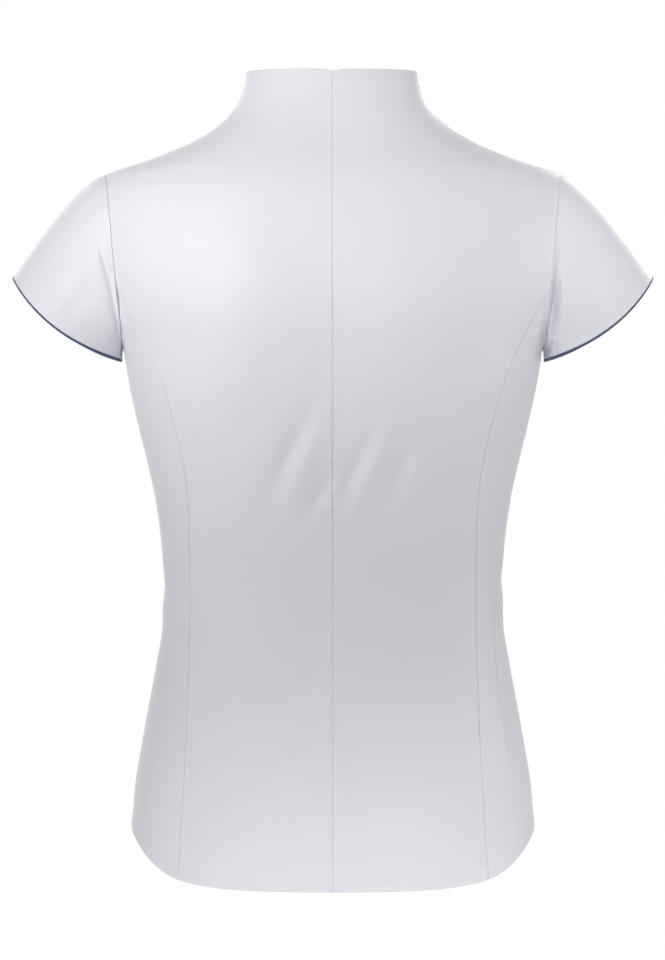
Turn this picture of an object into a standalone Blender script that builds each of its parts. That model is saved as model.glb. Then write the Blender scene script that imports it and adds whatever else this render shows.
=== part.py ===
"""Women's fitted blouse with short cap sleeves and a stand-up collar cut in one with the body.

The blouse keeps the hollow shape it has when worn. All sizes are in metres. The front faces -Y, the
wearer's left is +X, and z is 0 at the tips of the shoulders, where the wearer carries the blouse.

The body form is a stack of rounded rings. A place on it is given by its turn, the angle from the
centre back (0) round the wearer's side to the centre front (pi), and its height. Each panel is the
stretch of that form between its seams, with a wall moved inwards along the normals.
"""

import math
from collections import namedtuple

import bmesh
import bpy
import numpy as np

WALL = 0.0012            # doubled cloth with its seam allowances
COLLAR_WALL = 0.0020     # the collar is faced and stiffened
COLLAR_FROM = 0.010      # height at which the wall starts to thicken
COLLAR_FULL = 0.040      # height at which it has the collar's thickness
SEAM_GAP = 0.0004        # between two neighbouring panels, along the ring
NORMAL_STEP = 0.0005     # step used to find the direction of the surface

COLLAR_TOP = 0.088       # at the wearer's sides
COLLAR_DROP = 0.0012     # how much lower the collar's top is across the back
COLLAR_DIP = 0.0015      # notch in the collar's top edge at the centre back seam
COLLAR_DIP_TURN = math.radians(7)
SHOULDER_TIP = 0.0015
UNDERARM = -0.142
PRINCESS_TOP = -0.097    # where the princess seam meets the armhole

LAP = 0.015              # each front runs this far past the centre front
LAP_DROP = 0.0022        # the left front lies this far under the right one
LAP_CLEAR = 0.012        # past the right front's edge before the left one rises again
LAP_RISE = 0.030         # width of that rise

BUTTON_COUNT = 7
BUTTON_FIRST = -0.100
BUTTON_LAST = -0.532
BUTTON_RADIUS = 0.0055
BUTTON_THICKNESS = 0.0022
BUTTON_RIM = 0.0010
BUTTON_SIDES = 18

# Height, half width, depth behind and in front of the shoulder line, and how square the ring is.
# Between the shoulder tips and the underarm a ring runs on past the armhole, where the sleeve is.
Ring = namedtuple("Ring", "height half_width back_depth front_depth squareness")
RINGS = (
    Ring(-0.610, 0.1715, 0.1090, 0.1175, 2.30),
    Ring(-0.543, 0.1685, 0.1065, 0.1160, 2.30),
    Ring(-0.510, 0.1660, 0.1035, 0.1140, 2.30),
    Ring(-0.476, 0.1605, 0.0985, 0.1110, 2.28),
    Ring(-0.443, 0.1546, 0.0925, 0.1070, 2.25),
    Ring(-0.409, 0.1483, 0.0865, 0.1030, 2.25),
    Ring(-0.375, 0.1430, 0.0820, 0.1000, 2.25),
    Ring(-0.342, 0.1420, 0.0800, 0.0980, 2.25),
    Ring(-0.308, 0.1440, 0.0820, 0.0990, 2.28),
    Ring(-0.275, 0.1483, 0.0860, 0.1020, 2.30),
    Ring(-0.241, 0.1554, 0.0920, 0.1070, 2.33),
    Ring(-0.207, 0.1638, 0.0985, 0.1130, 2.36),
    Ring(-0.174, 0.1712, 0.1040, 0.1170, 2.38),
    Ring(-0.142, 0.1765, 0.1070, 0.1175, 2.40),
    Ring(-0.130, 0.1815, 0.1080, 0.1160, 2.40),
    Ring(-0.115, 0.1910, 0.1085, 0.1135, 2.36),
    Ring(-0.095, 0.2010, 0.1080, 0.1100, 2.32),
    Ring(-0.075, 0.2080, 0.1060, 0.1050, 2.27),
    Ring(-0.055, 0.2130, 0.1030, 0.0985, 2.22),
    Ring(-0.028, 0.2150, 0.0965, 0.0880, 2.15),
    Ring(-0.015, 0.2110, 0.0920, 0.0815, 2.12),
    Ring(-0.006, 0.2025, 0.0880, 0.0765, 2.12),
    Ring(0.0015, 0.1905, 0.0836, 0.0722, 2.18),
    Ring(0.006, 0.1778, 0.0806, 0.0698, 2.28),
    Ring(0.011, 0.1608, 0.0770, 0.0670, 2.40),
    Ring(0.016, 0.1472, 0.0733, 0.0643, 2.50),
    Ring(0.021, 0.1346, 0.0697, 0.0618, 2.56),
    Ring(0.026, 0.1226, 0.0662, 0.0598, 2.66),
    Ring(0.031, 0.1131, 0.0628, 0.0584, 2.66),
    Ring(0.036, 0.1046, 0.0597, 0.0572, 2.62),
    Ring(0.041, 0.0980, 0.0570, 0.0562, 2.54),
    Ring(0.051, 0.0876, 0.0527, 0.0544, 2.35),
    Ring(0.061, 0.0808, 0.0493, 0.0529, 2.20),
    Ring(0.072, 0.0762, 0.0466, 0.0515, 2.08),
    Ring(0.088, 0.0727, 0.0440, 0.0500, 2.00),
    Ring(0.100, 0.0715, 0.0430, 0.0495, 2.00),
)

# How far the armhole's edge is from the centre line, at each height.
Edge = namedtuple("Edge", "height reach")
ARMHOLE = (
    Edge(-0.142, 0.1765),
    Edge(-0.130, 0.1762),
    Edge(-0.097, 0.1788),
    Edge(-0.064, 0.1822),
    Edge(-0.031, 0.1853),
    Edge(-0.006, 0.1885),
    Edge(0.0015, 0.1905),
)

# How far the back's princess seam is from the centre line. It ends at the armhole.
PRINCESS = (
    Edge(-0.600, 0.1285),
    Edge(-0.558, 0.1262),
    Edge(-0.493, 0.1224),
    Edge(-0.428, 0.1198),
    Edge(-0.362, 0.1186),
    Edge(-0.296, 0.1191),
    Edge(-0.263, 0.1209),
    Edge(-0.230, 0.1262),
    Edge(-0.197, 0.1343),
    Edge(-0.164, 0.1453),
    Edge(-0.130, 0.1606),
    Edge(-0.097, 0.1788),
)

# How far the front's neck edge is from the centre front. Below zero it runs on into the lap.
NECKLINE = (
    Edge(0.0880, 0.0727),
    Edge(0.0865, 0.0690),
    Edge(0.0820, 0.0655),
    Edge(0.0720, 0.0620),
    Edge(0.0550, 0.0575),
    Edge(0.0350, 0.0520),
    Edge(0.0150, 0.0455),
    Edge(-0.0050, 0.0375),
    Edge(-0.0250, 0.0288),
    Edge(-0.0450, 0.0182),
    Edge(-0.0600, 0.0085),
    Edge(-0.0715, 0.0000),
    Edge(-0.0910, -LAP),
)

# The side seam lies at the wearer's side down to the waist, and behind it from there to the hem.
SideSeam = namedtuple("SideSeam", "height turn")
SIDE_SEAM = (
    SideSeam(-0.600, math.radians(71.3)),
    SideSeam(-0.462, math.radians(71.4)),
    SideSeam(-0.433, math.radians(72.2)),
    SideSeam(-0.399, math.radians(74.2)),
    SideSeam(-0.363, math.radians(77.6)),
    SideSeam(-0.330, math.radians(82.0)),
    SideSeam(-0.300, math.radians(87.0)),
    SideSeam(-0.265, math.radians(90.0)),
    SideSeam(-0.142, math.radians(90.0)),
)

# The hem is level at the centre back and front, and rises at the sides.
Hem = namedtuple("Hem", "turn height")
HEM = (
    Hem(math.radians(0), -0.5903),
    Hem(math.radians(21), -0.5901),
    Hem(math.radians(40), -0.5890),
    Hem(math.radians(51), -0.5863),
    Hem(math.radians(58.5), -0.5825),
    Hem(math.radians(64.6), -0.5758),
    Hem(math.radians(71.4), -0.5648),
    Hem(math.radians(77.6), -0.5545),
    Hem(math.radians(85), -0.5465),
    Hem(math.radians(95), -0.5430),
    Hem(math.radians(106), -0.5470),
    Hem(math.radians(120), -0.5620),
    Hem(math.radians(132), -0.5765),
    Hem(math.radians(144), -0.5855),
    Hem(math.radians(156), -0.5895),
    Hem(math.radians(166), -0.5903),
    Hem(math.radians(195), -0.5903),
)

# Broad rises that the cut gives each side of the body form: x, height, spread each way, rise.
Bump = namedtuple("Bump", "x height spread_x spread_z rise")
FRONT_BUMPS = (
    Bump(0.078, -0.166, 0.060, 0.055, 0.0200),    # bust darts
    Bump(-0.078, -0.166, 0.060, 0.055, 0.0200),
)
BACK_BUMPS = (
    Bump(0.084, -0.110, 0.046, 0.085, 0.0060),    # shoulder blades
    Bump(-0.084, -0.110, 0.046, 0.085, 0.0060),
    Bump(0.000, -0.190, 0.030, 0.120, -0.0025),   # hollow along the centre back seam
)

# Drag folds in the back: middle, half length, half width, direction it runs in, rise.
Fold = namedtuple("Fold", "x height half_length half_width run_x run_z rise")
FOLDS = (
    Fold(0.0436, -0.2315, 0.042, 0.0090, 0.43, -0.90, -0.0017),
    Fold(0.0313, -0.2420, 0.040, 0.0090, 0.35, -0.94, 0.0017),
    Fold(0.0180, -0.2580, 0.024, 0.0075, 0.45, -0.89, -0.0018),
    Fold(-0.0173, -0.2340, 0.034, 0.0080, 0.46, -0.89, -0.0015),
    Fold(-0.0288, -0.2420, 0.045, 0.0085, 0.49, -0.87, 0.0021),
    Fold(-0.0460, -0.2500, 0.042, 0.0095, 0.40, -0.92, -0.0020),
    Fold(-0.0716, -0.2460, 0.045, 0.0100, 0.05, -1.00, 0.0009),
    Fold(0.0270, -0.4270, 0.028, 0.0090, 0.82, -0.57, -0.0010),
    Fold(0.0296, -0.4537, 0.030, 0.0095, 0.67, -0.74, 0.0013),
    Fold(0.0230, -0.4780, 0.025, 0.0080, 0.85, -0.53, -0.0013),
    Fold(-0.0140, -0.4740, 0.018, 0.0080, 0.92, -0.39, -0.0015),
)

# The sleeve's open end, seen from behind: its outer tip, its lowest point under the arm, how far it
# bows outwards between them, and half its depth from front to back.
SLEEVE_TIP_X, SLEEVE_TIP_Z = 0.2682, -0.0841
SLEEVE_LOW_X, SLEEVE_LOW_Z = 0.1773, -0.1530
SLEEVE_BOW = 0.0114
SLEEVE_HALF_DEPTH = 0.0520
# The way the cloth leaves the armhole and arrives at the open end, over and under the arm: angle
# below level, and how far that direction carries.
LEAVE_OVER, LEAVE_UNDER = math.radians(18), math.radians(88)
ARRIVE_OVER, ARRIVE_UNDER = math.radians(54), math.radians(85)
LEAVE_REACH_OVER, LEAVE_REACH_UNDER = 0.030, 0.004
ARRIVE_REACH_OVER, ARRIVE_REACH_UNDER = 0.025, 0.004
SLEEVE_GAP = 0.0004      # from the armhole's edge to the sleeve
SLEEVE_WALL = 0.0012
# The crease that the sleeve makes beside the armhole, behind and in front of the arm.
CREASE_DEPTH = 0.0050
CREASE_ALONG = 0.13      # where it lies, as a share of the way to the open end
CREASE_WIDTH = 0.10
CREASE_ROUND = math.radians(112)
CREASE_SPREAD = math.radians(30)

PIPING_GAP = 0.0004
PIPING_HEIGHT = 0.0020
PIPING_PROUD = 0.0002    # past the sleeve's wall, on each face

# Mesh counts: rows up a panel below, beside and above the armhole, and columns across each panel.
BODY_ROWS, COLLAR_ROWS = 24, 13
BACK_ARMHOLE_ROWS, FRONT_ARMHOLE_ROWS = 9, 13
BACK_COLUMNS, SIDE_COLUMNS, FRONT_COLUMNS = 12, 5, 14
COLLAR_BUNCHING = 1.3    # above 1, the rows above the shoulder tip start closer together
NECK_BUNCHING = 1.5      # above 1, the neck edge's points lie closer together at the collar's top
FRONT_BUNCHING = 0.10    # above 0, the front's columns lie closer together towards the centre front
SLEEVE_SHARES = (0.0, 0.06, 0.13, 0.22, 0.36, 0.52, 0.68, 0.84, 1.0)

CLOTH_COLOUR = (0.86, 0.87, 0.91)
PIPING_COLOUR = (0.06, 0.13, 0.36)
BUTTON_COLOUR = (0.90, 0.90, 0.92)


def slopes(place, value):
    """Slopes that carry a smooth curve through each column without overshoot."""
    step = np.diff(place)[:, None]
    rise = np.diff(value, axis=0) / step
    same = rise[:-1] * rise[1:] > 0
    safe = np.where(same, rise[:-1] + rise[1:], 1.0)
    middle = np.where(same, 2 * rise[:-1] * rise[1:] / safe, 0.0)
    return np.vstack([rise[:1], middle, rise[-1:]])


def smooth_table(rows):
    """A function that reads the rows of a table, sorted by their first column, at any place."""
    data = np.array(sorted(tuple(row) for row in rows), float)
    place, value = data[:, 0], data[:, 1:]
    slope = slopes(place, value)

    def read(at):
        at = np.clip(np.asarray(at, float), place[0], place[-1])
        k = np.clip(np.searchsorted(place, at) - 1, 0, len(place) - 2)
        width = place[k + 1] - place[k]
        t = ((at - place[k]) / width)[..., None]
        width = width[..., None]
        found = (
            value[k] * (1 + 2 * t) * (1 - t) ** 2
            + slope[k] * width * t * (1 - t) ** 2
            + value[k + 1] * t * t * (3 - 2 * t)
            + slope[k + 1] * width * t * t * (t - 1)
        )
        return [found[..., c] for c in range(found.shape[-1])]

    return read


ring_at = smooth_table(RINGS)
armhole_at = smooth_table(ARMHOLE)
princess_at = smooth_table(PRINCESS)
neckline_at = smooth_table(NECKLINE)
side_seam_at = smooth_table(SIDE_SEAM)
hem_at = smooth_table(HEM)


def ease(low, high, value):
    """0 below low, 1 above high, and a smooth rise between."""
    t = np.clip((value - low) / (high - low), 0.0, 1.0)
    return t * t * (3 - 2 * t)


def bump_rise(bumps, x, height):
    return sum(
        b.rise * np.exp(-((x - b.x) / b.spread_x) ** 2 - ((height - b.height) / b.spread_z) ** 2)
        for b in bumps
    )


def fold_rise(x, height):
    total = np.zeros_like(x)
    for fold in FOLDS:
        long = (x - fold.x) * fold.run_x + (height - fold.height) * fold.run_z
        wide = (x - fold.x) * fold.run_z - (height - fold.height) * fold.run_x
        total += fold.rise * np.exp(-((long / fold.half_length) ** 2) - (wide / fold.half_width) ** 2)
    return total


def ring_radius(turn, height):
    half_width, back, front, square = ring_at(height)
    depth = np.where(np.cos(turn) > 0, back, front)
    across = np.abs(np.sin(turn)) / half_width
    along = np.abs(np.cos(turn)) / depth
    return (across**square + along**square) ** (-1 / square)


def form(turn, height, side):
    """The body form's outer surface, with the cut's broad rises and the drag folds on it."""
    radius = ring_radius(turn, height)
    x = side * radius * np.sin(turn)
    y = radius * np.cos(turn)
    behind = ease(-0.02, 0.03, y)
    rise = bump_rise(BACK_BUMPS, x, height) + fold_rise(x, height)
    swell = bump_rise(FRONT_BUMPS, x, height)
    y = y + behind * rise - ease(0.02, 0.06, -y) * swell
    return np.stack([x, y, np.asarray(height, float) + 0 * x], axis=-1)


def outward(turn, height, side):
    """Unit normals of the body form, pointing away from the wearer."""
    turn_step = NORMAL_STEP / ring_radius(turn, height)
    across = form(turn + turn_step, height, side) - form(turn - turn_step, height, side)
    up = form(turn, height + NORMAL_STEP, side) - form(turn, height - NORMAL_STEP, side)
    normal = np.cross(up, across) * side
    return normal / np.linalg.norm(normal, axis=-1, keepdims=True)


def turn_behind(reach, height):
    """The turn, on the back half of the ring, at a distance from the centre line."""
    half_width, back, _, square = ring_at(height)
    share = np.clip(reach / half_width, 0.0, 1.0)
    return np.arctan2(reach, back * (1 - share**square) ** (1 / square))


def turn_before(reach, height):
    """The same on the front half. A reach below zero is past the centre front."""
    half_width, _, front, square = ring_at(height)
    share = np.clip(np.abs(reach) / half_width, 0.0, 1.0)
    depth = front * (1 - share**square) ** (1 / square)
    return math.pi - np.arctan2(reach, depth)


def armhole_turn(height, behind):
    (reach,) = armhole_at(height)
    return turn_behind(reach, height) if behind else turn_before(reach, height)


def gap_turn(turn, height):
    """Half the seam's gap, as a turn."""
    return SEAM_GAP / 2 / ring_radius(turn, height)


def rows_between(low, high, count):
    return low + (high - low) * np.arange(count) / count


def hem_height(turn):
    return hem_at(turn)[0]


def seam_foot(seam_turn):
    """The height at which a seam, given by its turn at a height, meets the hem."""
    height = HEM[0].height
    for _ in range(8):
        height = float(hem_height(seam_turn(height)))
    return height


def princess_turn(height):
    return turn_behind(princess_at(height)[0], height)


def side_turn(height):
    return side_seam_at(height)[0]


def front_edge_turn(height):
    return turn_before(-LAP + 0 * np.asarray(height, float), height)


def back_armhole_heights():
    """Heights up the armhole from the princess seam, closer together where it turns over the shoulder."""
    share = np.sin(np.linspace(0, math.pi / 2, BACK_ARMHOLE_ROWS + 1))
    return PRINCESS_TOP + (SHOULDER_TIP - PRINCESS_TOP) * share


def front_armhole_heights():
    """Heights up the whole armhole, closer together at both of its ends."""
    share = (1 - np.cos(np.linspace(0, math.pi, FRONT_ARMHOLE_ROWS + 1))) / 2
    return UNDERARM + (SHOULDER_TIP - UNDERARM) * share


def side_top_heights():
    """Heights down the lower back of the armhole, from the princess seam to under the arm."""
    return PRINCESS_TOP + (UNDERARM - PRINCESS_TOP) * np.sin(np.linspace(0, math.pi / 2, SIDE_COLUMNS + 1))


def collar_top(turn):
    """Height of the collar's top edge on the back panel."""
    dip = COLLAR_DIP * np.exp(-((turn / COLLAR_DIP_TURN) ** 2))
    return COLLAR_TOP - COLLAR_DROP * np.cos(turn) ** 2 - dip


def collar_heights():
    share = np.linspace(0, 1, COLLAR_ROWS + 1)[1:] ** COLLAR_BUNCHING
    return SHOULDER_TIP + (COLLAR_TOP - SHOULDER_TIP) * share


def column_shares(count, bunching=0.0):
    """How far across each column is, from 0 to 1."""
    even = np.linspace(0, 1, count + 1)
    return even + bunching * np.sin(math.pi * even)


def coons(left, right, bottom, top, across, up):
    """A grid of (turn, height) that fills four edges. left and right hold one point a row, bottom and
    top one a column, and across and up say how far along each column and row is, from 0 to 1."""
    s = across[None, :, None]
    v = up[:, None, None]
    corners = (
        (1 - s) * (1 - v) * bottom[0] + s * (1 - v) * bottom[-1] + (1 - s) * v * top[0] + s * v * top[-1]
    )
    return (
        (1 - v) * bottom[None] + v * top[None] + (1 - s) * left[:, None] + s * right[:, None] - corners
    )


def row_shares(heights):
    return (heights - heights[0]) / (heights[-1] - heights[0])


def pairs(turn, height):
    turn, height = np.broadcast_arrays(turn, height)
    return np.stack([turn, height], axis=-1)


def hem_between(left, right, across):
    """The hem's points from one seam to the next."""
    turn = left + (right - left) * across
    return pairs(turn, hem_height(turn))


def back_grid():
    """Centre back seam to princess seam, armhole and shoulder seam, from the hem to the collar's top."""
    foot = seam_foot(princess_turn)
    body = rows_between(foot, PRINCESS_TOP, BODY_ROWS)
    beside = back_armhole_heights()
    collar = collar_heights()
    heights = np.concatenate([body, beside, collar])
    turn = np.concatenate(
        [princess_turn(body), armhole_turn(beside, True), np.full(len(collar), math.pi / 2)]
    )
    right = pairs(turn - gap_turn(turn, heights), heights)
    centre = heights.copy()
    centre[0] = hem_height(0.0)
    centre[-1] = collar_top(0.0)
    left = pairs(gap_turn(0 * centre, centre), centre)
    across = column_shares(BACK_COLUMNS)
    bottom = hem_between(left[0, 0], right[0, 0], across)
    top_turn = left[-1, 0] + (right[-1, 0] - left[-1, 0]) * across
    top = pairs(top_turn, collar_top(top_turn))
    left[-1], right[-1] = top[0], top[-1]
    left[0], right[0] = bottom[0], bottom[-1]
    return coons(left, right, bottom, top, across, row_shares(heights))


def back_side_grid():
    """Princess seam to side seam, from the hem to the lower back of the armhole."""
    foot = seam_foot(princess_turn)
    heights = np.append(rows_between(foot, PRINCESS_TOP, BODY_ROWS), PRINCESS_TOP)
    turn = princess_turn(heights)
    left = pairs(turn + gap_turn(turn, heights), heights)
    side_foot = seam_foot(side_turn)
    side_heights = np.append(rows_between(side_foot, UNDERARM, BODY_ROWS), UNDERARM)
    turn = side_turn(side_heights)
    right = pairs(turn - gap_turn(turn, side_heights), side_heights)
    across = column_shares(SIDE_COLUMNS)
    bottom = hem_between(left[0, 0], right[0, 0], across)
    top_heights = side_top_heights()
    top = pairs(armhole_turn(top_heights, True), top_heights)
    top[0], top[-1] = left[-1], right[-1]
    left[0], right[0] = bottom[0], bottom[-1]
    return coons(left, right, bottom, top, across, row_shares(heights))


def front_grid():
    """Side seam, armhole and shoulder seam to the front edge, from the hem to the neck edge."""
    foot = seam_foot(side_turn)
    body = rows_between(foot, UNDERARM, BODY_ROWS)
    beside = front_armhole_heights()
    collar = collar_heights()
    heights = np.concatenate([body, beside, collar])
    turn = np.concatenate(
        [side_turn(body), armhole_turn(beside, False), np.full(len(collar), math.pi / 2)]
    )
    left = pairs(turn + gap_turn(turn, heights), heights)
    share = row_shares(heights)
    low, high = hem_height(math.pi), NECKLINE[-1].height
    edge = low + (high - low) * share
    right = pairs(front_edge_turn(edge), edge)
    across = column_shares(FRONT_COLUMNS, FRONT_BUNCHING)
    bottom = hem_between(left[0, 0], right[0, 0], across)
    neck = COLLAR_TOP + (high - COLLAR_TOP) * across**NECK_BUNCHING
    top = pairs(turn_before(neckline_at(neck)[0], neck), neck)
    top[0], right[-1] = left[-1], top[-1]
    left[0], right[0] = bottom[0], bottom[-1]
    return coons(left, right, bottom, top, across, share)


def lap_drop(turn, height):
    """How far the left front is pushed in, so that the right one laps over it."""
    from_centre = ring_radius(turn, height) * np.sin(turn)
    inner = LAP + LAP_CLEAR
    return LAP_DROP * (1 - ease(inner, inner + LAP_RISE, from_centre))


def wall_points(grid, side, drop=None):
    """Outer and inner points of a panel's wall."""
    turn, height = grid[..., 0], grid[..., 1]
    normal = outward(turn, height, side)
    outer = form(turn, height, side)
    if drop is not None:
        outer = outer - normal * drop(turn, height)[..., None]
    wall = WALL + (COLLAR_WALL - WALL) * ease(COLLAR_FROM, COLLAR_FULL, height)
    return outer, outer - normal * wall[..., None]


def grid_faces(rows, columns, closed, at):
    """Quads of a grid whose first vertex has the number at. A closed grid joins its last column to its
    first."""
    across = columns if closed else columns - 1
    faces = []
    for r in range(rows - 1):
        for c in range(across):
            here, there = at + r * columns + c, at + r * columns + (c + 1) % columns
            faces.append((here, there, there + columns, here + columns))
    return faces


def rim(rows, columns, closed):
    """The chains of vertices along a grid's open edges."""
    last = (rows - 1) * columns
    if closed:
        return [
            [c % columns for c in range(columns + 1)],
            [last + c % columns for c in range(columns, -1, -1)],
        ]
    bottom = list(range(columns))
    right = [r * columns + columns - 1 for r in range(1, rows)]
    top = [last + c for c in range(columns - 2, -1, -1)]
    left = [r * columns for r in range(rows - 2, -1, -1)]
    return [bottom + right + top + left]


def wall_solid(name, outer, inner, material, closed=False):
    """One closed solid between two grids of points."""
    rows, columns = outer.shape[:2]
    count = rows * columns
    faces = grid_faces(rows, columns, closed, 0)
    faces += [face[::-1] for face in grid_faces(rows, columns, closed, count)]
    for chain in rim(rows, columns, closed):
        faces += [(b, a, a + count, b + count) for a, b in zip(chain, chain[1:])]
    points = np.concatenate([outer.reshape(-1, 3), inner.reshape(-1, 3)])
    mesh = bpy.data.meshes.new(name)
    mesh.from_pydata(points.tolist(), [], faces)
    work = bmesh.new()
    work.from_mesh(mesh)
    bmesh.ops.recalc_face_normals(work, faces=work.faces)
    work.to_mesh(mesh)
    work.free()
    mesh.materials.append(material)
    mesh.shade_smooth()
    mesh.set_sharp_from_angle(angle=math.radians(50))
    solid = bpy.data.objects.new(name, mesh)
    bpy.context.scene.collection.objects.link(solid)
    return solid


def sleeve_round():
    """Angles round the sleeve, at the heights of the panels' points along the armhole: 0 over the arm,
    pi / 2 behind it and pi under it."""
    upper = back_armhole_heights()[::-1]
    behind = np.concatenate([upper, side_top_heights()[1:]])
    before = front_armhole_heights()[1:-1]
    height = np.concatenate([behind, before])
    angle = np.arccos(1 - 2 * (height - SHOULDER_TIP) / (UNDERARM - SHOULDER_TIP))
    angle[len(behind):] = 2 * math.pi - angle[len(behind):]
    return angle


def mix_under(over, under, round_angle):
    """A value that goes from over the arm to under it."""
    return over + (under - over) * (1 - np.cos(round_angle)) / 2


def armhole_loop(round_angle):
    """Points of the armhole's edge, just outside the panels' edges."""
    height = mix_under(SHOULDER_TIP, UNDERARM, round_angle)
    (reach,) = armhole_at(height)
    behind = np.sin(round_angle) >= 0
    turn = np.where(behind, turn_behind(reach, height), turn_before(reach, height))
    points = form(turn, height, 1)
    points[..., 0] += SLEEVE_GAP
    return points


def open_end(round_angle):
    """Points of the sleeve's open end."""
    middle_x, middle_z = (SLEEVE_TIP_X + SLEEVE_LOW_X) / 2, (SLEEVE_TIP_Z + SLEEVE_LOW_Z) / 2
    half_x, half_z = (SLEEVE_TIP_X - SLEEVE_LOW_X) / 2, (SLEEVE_TIP_Z - SLEEVE_LOW_Z) / 2
    half = math.hypot(half_x, half_z)
    bow = SLEEVE_BOW * np.sin(round_angle) ** 2
    x = middle_x + half_x * np.cos(round_angle) + bow * half_z / half
    z = middle_z + half_z * np.cos(round_angle) - bow * half_x / half
    return np.stack([x, SLEEVE_HALF_DEPTH * np.sin(round_angle), z], axis=-1)


def downward(angle):
    """The direction at an angle below level, away from the body."""
    return np.stack([np.cos(angle), 0 * angle, -np.sin(angle)], axis=-1)


def arrival(round_angle):
    share = ((1 - np.cos(round_angle)) / 2) ** 2
    return downward(ARRIVE_OVER + (ARRIVE_UNDER - ARRIVE_OVER) * share)


def sleeve_surface(round_angle, share):
    """The sleeve's outer surface: a curved path from the armhole to the open end, at each angle."""
    leave = downward(mix_under(LEAVE_OVER, LEAVE_UNDER, round_angle))
    leave_reach = mix_under(LEAVE_REACH_OVER, LEAVE_REACH_UNDER, round_angle)[..., None]
    arrive_reach = mix_under(ARRIVE_REACH_OVER, ARRIVE_REACH_UNDER, round_angle)[..., None]
    start, end = armhole_loop(round_angle), open_end(round_angle)
    first = start + leave * leave_reach
    second = end - arrival(round_angle) * arrive_reach
    t = np.asarray(share, float)[..., None]
    return (
        start * (1 - t) ** 3
        + first * 3 * t * (1 - t) ** 2
        + second * 3 * t * t * (1 - t)
        + end * t**3
    )


def sleeve_crease(round_angle, share):
    """Depth of the creases beside the armhole."""
    along = np.exp(-(((share - CREASE_ALONG) / CREASE_WIDTH) ** 2))
    from_behind = np.abs(np.angle(np.exp(1j * (round_angle - CREASE_ROUND)))) / CREASE_SPREAD
    from_front = np.abs(np.angle(np.exp(1j * (round_angle + CREASE_ROUND)))) / CREASE_SPREAD
    return CREASE_DEPTH * along * (np.exp(-(from_behind**2)) + np.exp(-(from_front**2)))


def grid_normals(points):
    """Outward unit normals of a closed grid: rows along the sleeve, columns round it."""
    round_step = np.roll(points, -1, axis=1) - np.roll(points, 1, axis=1)
    along_step = np.gradient(points, axis=0)
    normal = np.cross(along_step, round_step)
    return normal / np.linalg.norm(normal, axis=-1, keepdims=True)


def mirrored(points, side):
    return points * np.array([side, 1, 1])


def sleeve_walls():
    """Outer and inner points of the left sleeve, and its normals at the open end. At the armhole its
    edge is square to the wearer's side, so that it doesn't run under the panels."""
    share, around = np.broadcast_arrays(np.array(SLEEVE_SHARES)[:, None], sleeve_round()[None, :])
    plain = sleeve_surface(around, share)
    outer = plain - grid_normals(plain) * sleeve_crease(around, share)[..., None]
    normal = grid_normals(outer)
    normal[0, :, 0] = np.minimum(normal[0, :, 0], 0.0)
    normal[0] /= np.linalg.norm(normal[0], axis=-1, keepdims=True)
    return outer, outer - normal * SLEEVE_WALL, normal[-1]


def add_sleeve(side, side_name, cloth, piping):
    outer, inner, normal = sleeve_walls()
    wall_solid(f"sleeve_{side_name}", mirrored(outer, side), mirrored(inner, side), cloth, closed=True)
    way = arrival(sleeve_round())
    rims = [outer[-1] + way * step for step in (PIPING_GAP, PIPING_GAP + PIPING_HEIGHT)]
    ring_outer = np.stack([points + normal * PIPING_PROUD for points in rims])
    ring_inner = np.stack([points - normal * (SLEEVE_WALL + PIPING_PROUD) for points in rims])
    wall_solid(
        f"sleeve_piping_{side_name}",
        mirrored(ring_outer, side),
        mirrored(ring_inner, side),
        piping,
        closed=True,
    )


def add_button(number, height, material):
    """A round button with a raised rim, sewn to the right front on the centre line."""
    turn = np.array(math.pi)
    place = form(turn, np.array(height), -1)
    normal = outward(turn, np.array(height), -1)
    profile = (
        (0.0, 0.0),
        (BUTTON_RADIUS - BUTTON_RIM / 2, 0.0),
        (BUTTON_RADIUS, BUTTON_THICKNESS / 2),
        (BUTTON_RADIUS - BUTTON_RIM / 2, BUTTON_THICKNESS),
        (BUTTON_RADIUS - BUTTON_RIM * 1.5, BUTTON_THICKNESS * 0.75),
        (0.0, BUTTON_THICKNESS * 0.75),
    )
    work = bmesh.new()
    chain = [work.verts.new((radius, 0, up)) for radius, up in profile]
    edges = [work.edges.new(pair) for pair in zip(chain, chain[1:])]
    bmesh.ops.spin(
        work,
        geom=chain + edges,
        cent=(0, 0, 0),
        axis=(0, 0, 1),
        angle=2 * math.pi,
        steps=BUTTON_SIDES,
        use_merge=True,
    )
    bmesh.ops.remove_doubles(work, verts=work.verts, dist=1e-6)
    bmesh.ops.recalc_face_normals(work, faces=work.faces)
    mesh = bpy.data.meshes.new(f"button_{number}")
    work.to_mesh(mesh)
    work.free()
    mesh.materials.append(material)
    mesh.shade_smooth()
    mesh.set_sharp_from_angle(angle=math.radians(40))
    button = bpy.data.objects.new(f"button_{number}", mesh)
    tilt = math.atan2(normal[2], -normal[1])
    button.rotation_euler = (math.pi / 2 - tilt, 0, 0)
    button.location = place + normal * SEAM_GAP
    bpy.context.scene.collection.objects.link(button)


def add_material(name, colour, roughness):
    material = bpy.data.materials.new(name)
    material.use_nodes = True
    shader = material.node_tree.nodes["Principled BSDF"]
    shader.inputs["Base Color"].default_value = (*colour, 1)
    shader.inputs["Roughness"].default_value = roughness
    shader.inputs["Metallic"].default_value = 0.0
    return material


def clear_scene():
    for thing in list(bpy.data.objects):
        bpy.data.objects.remove(thing)


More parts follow.
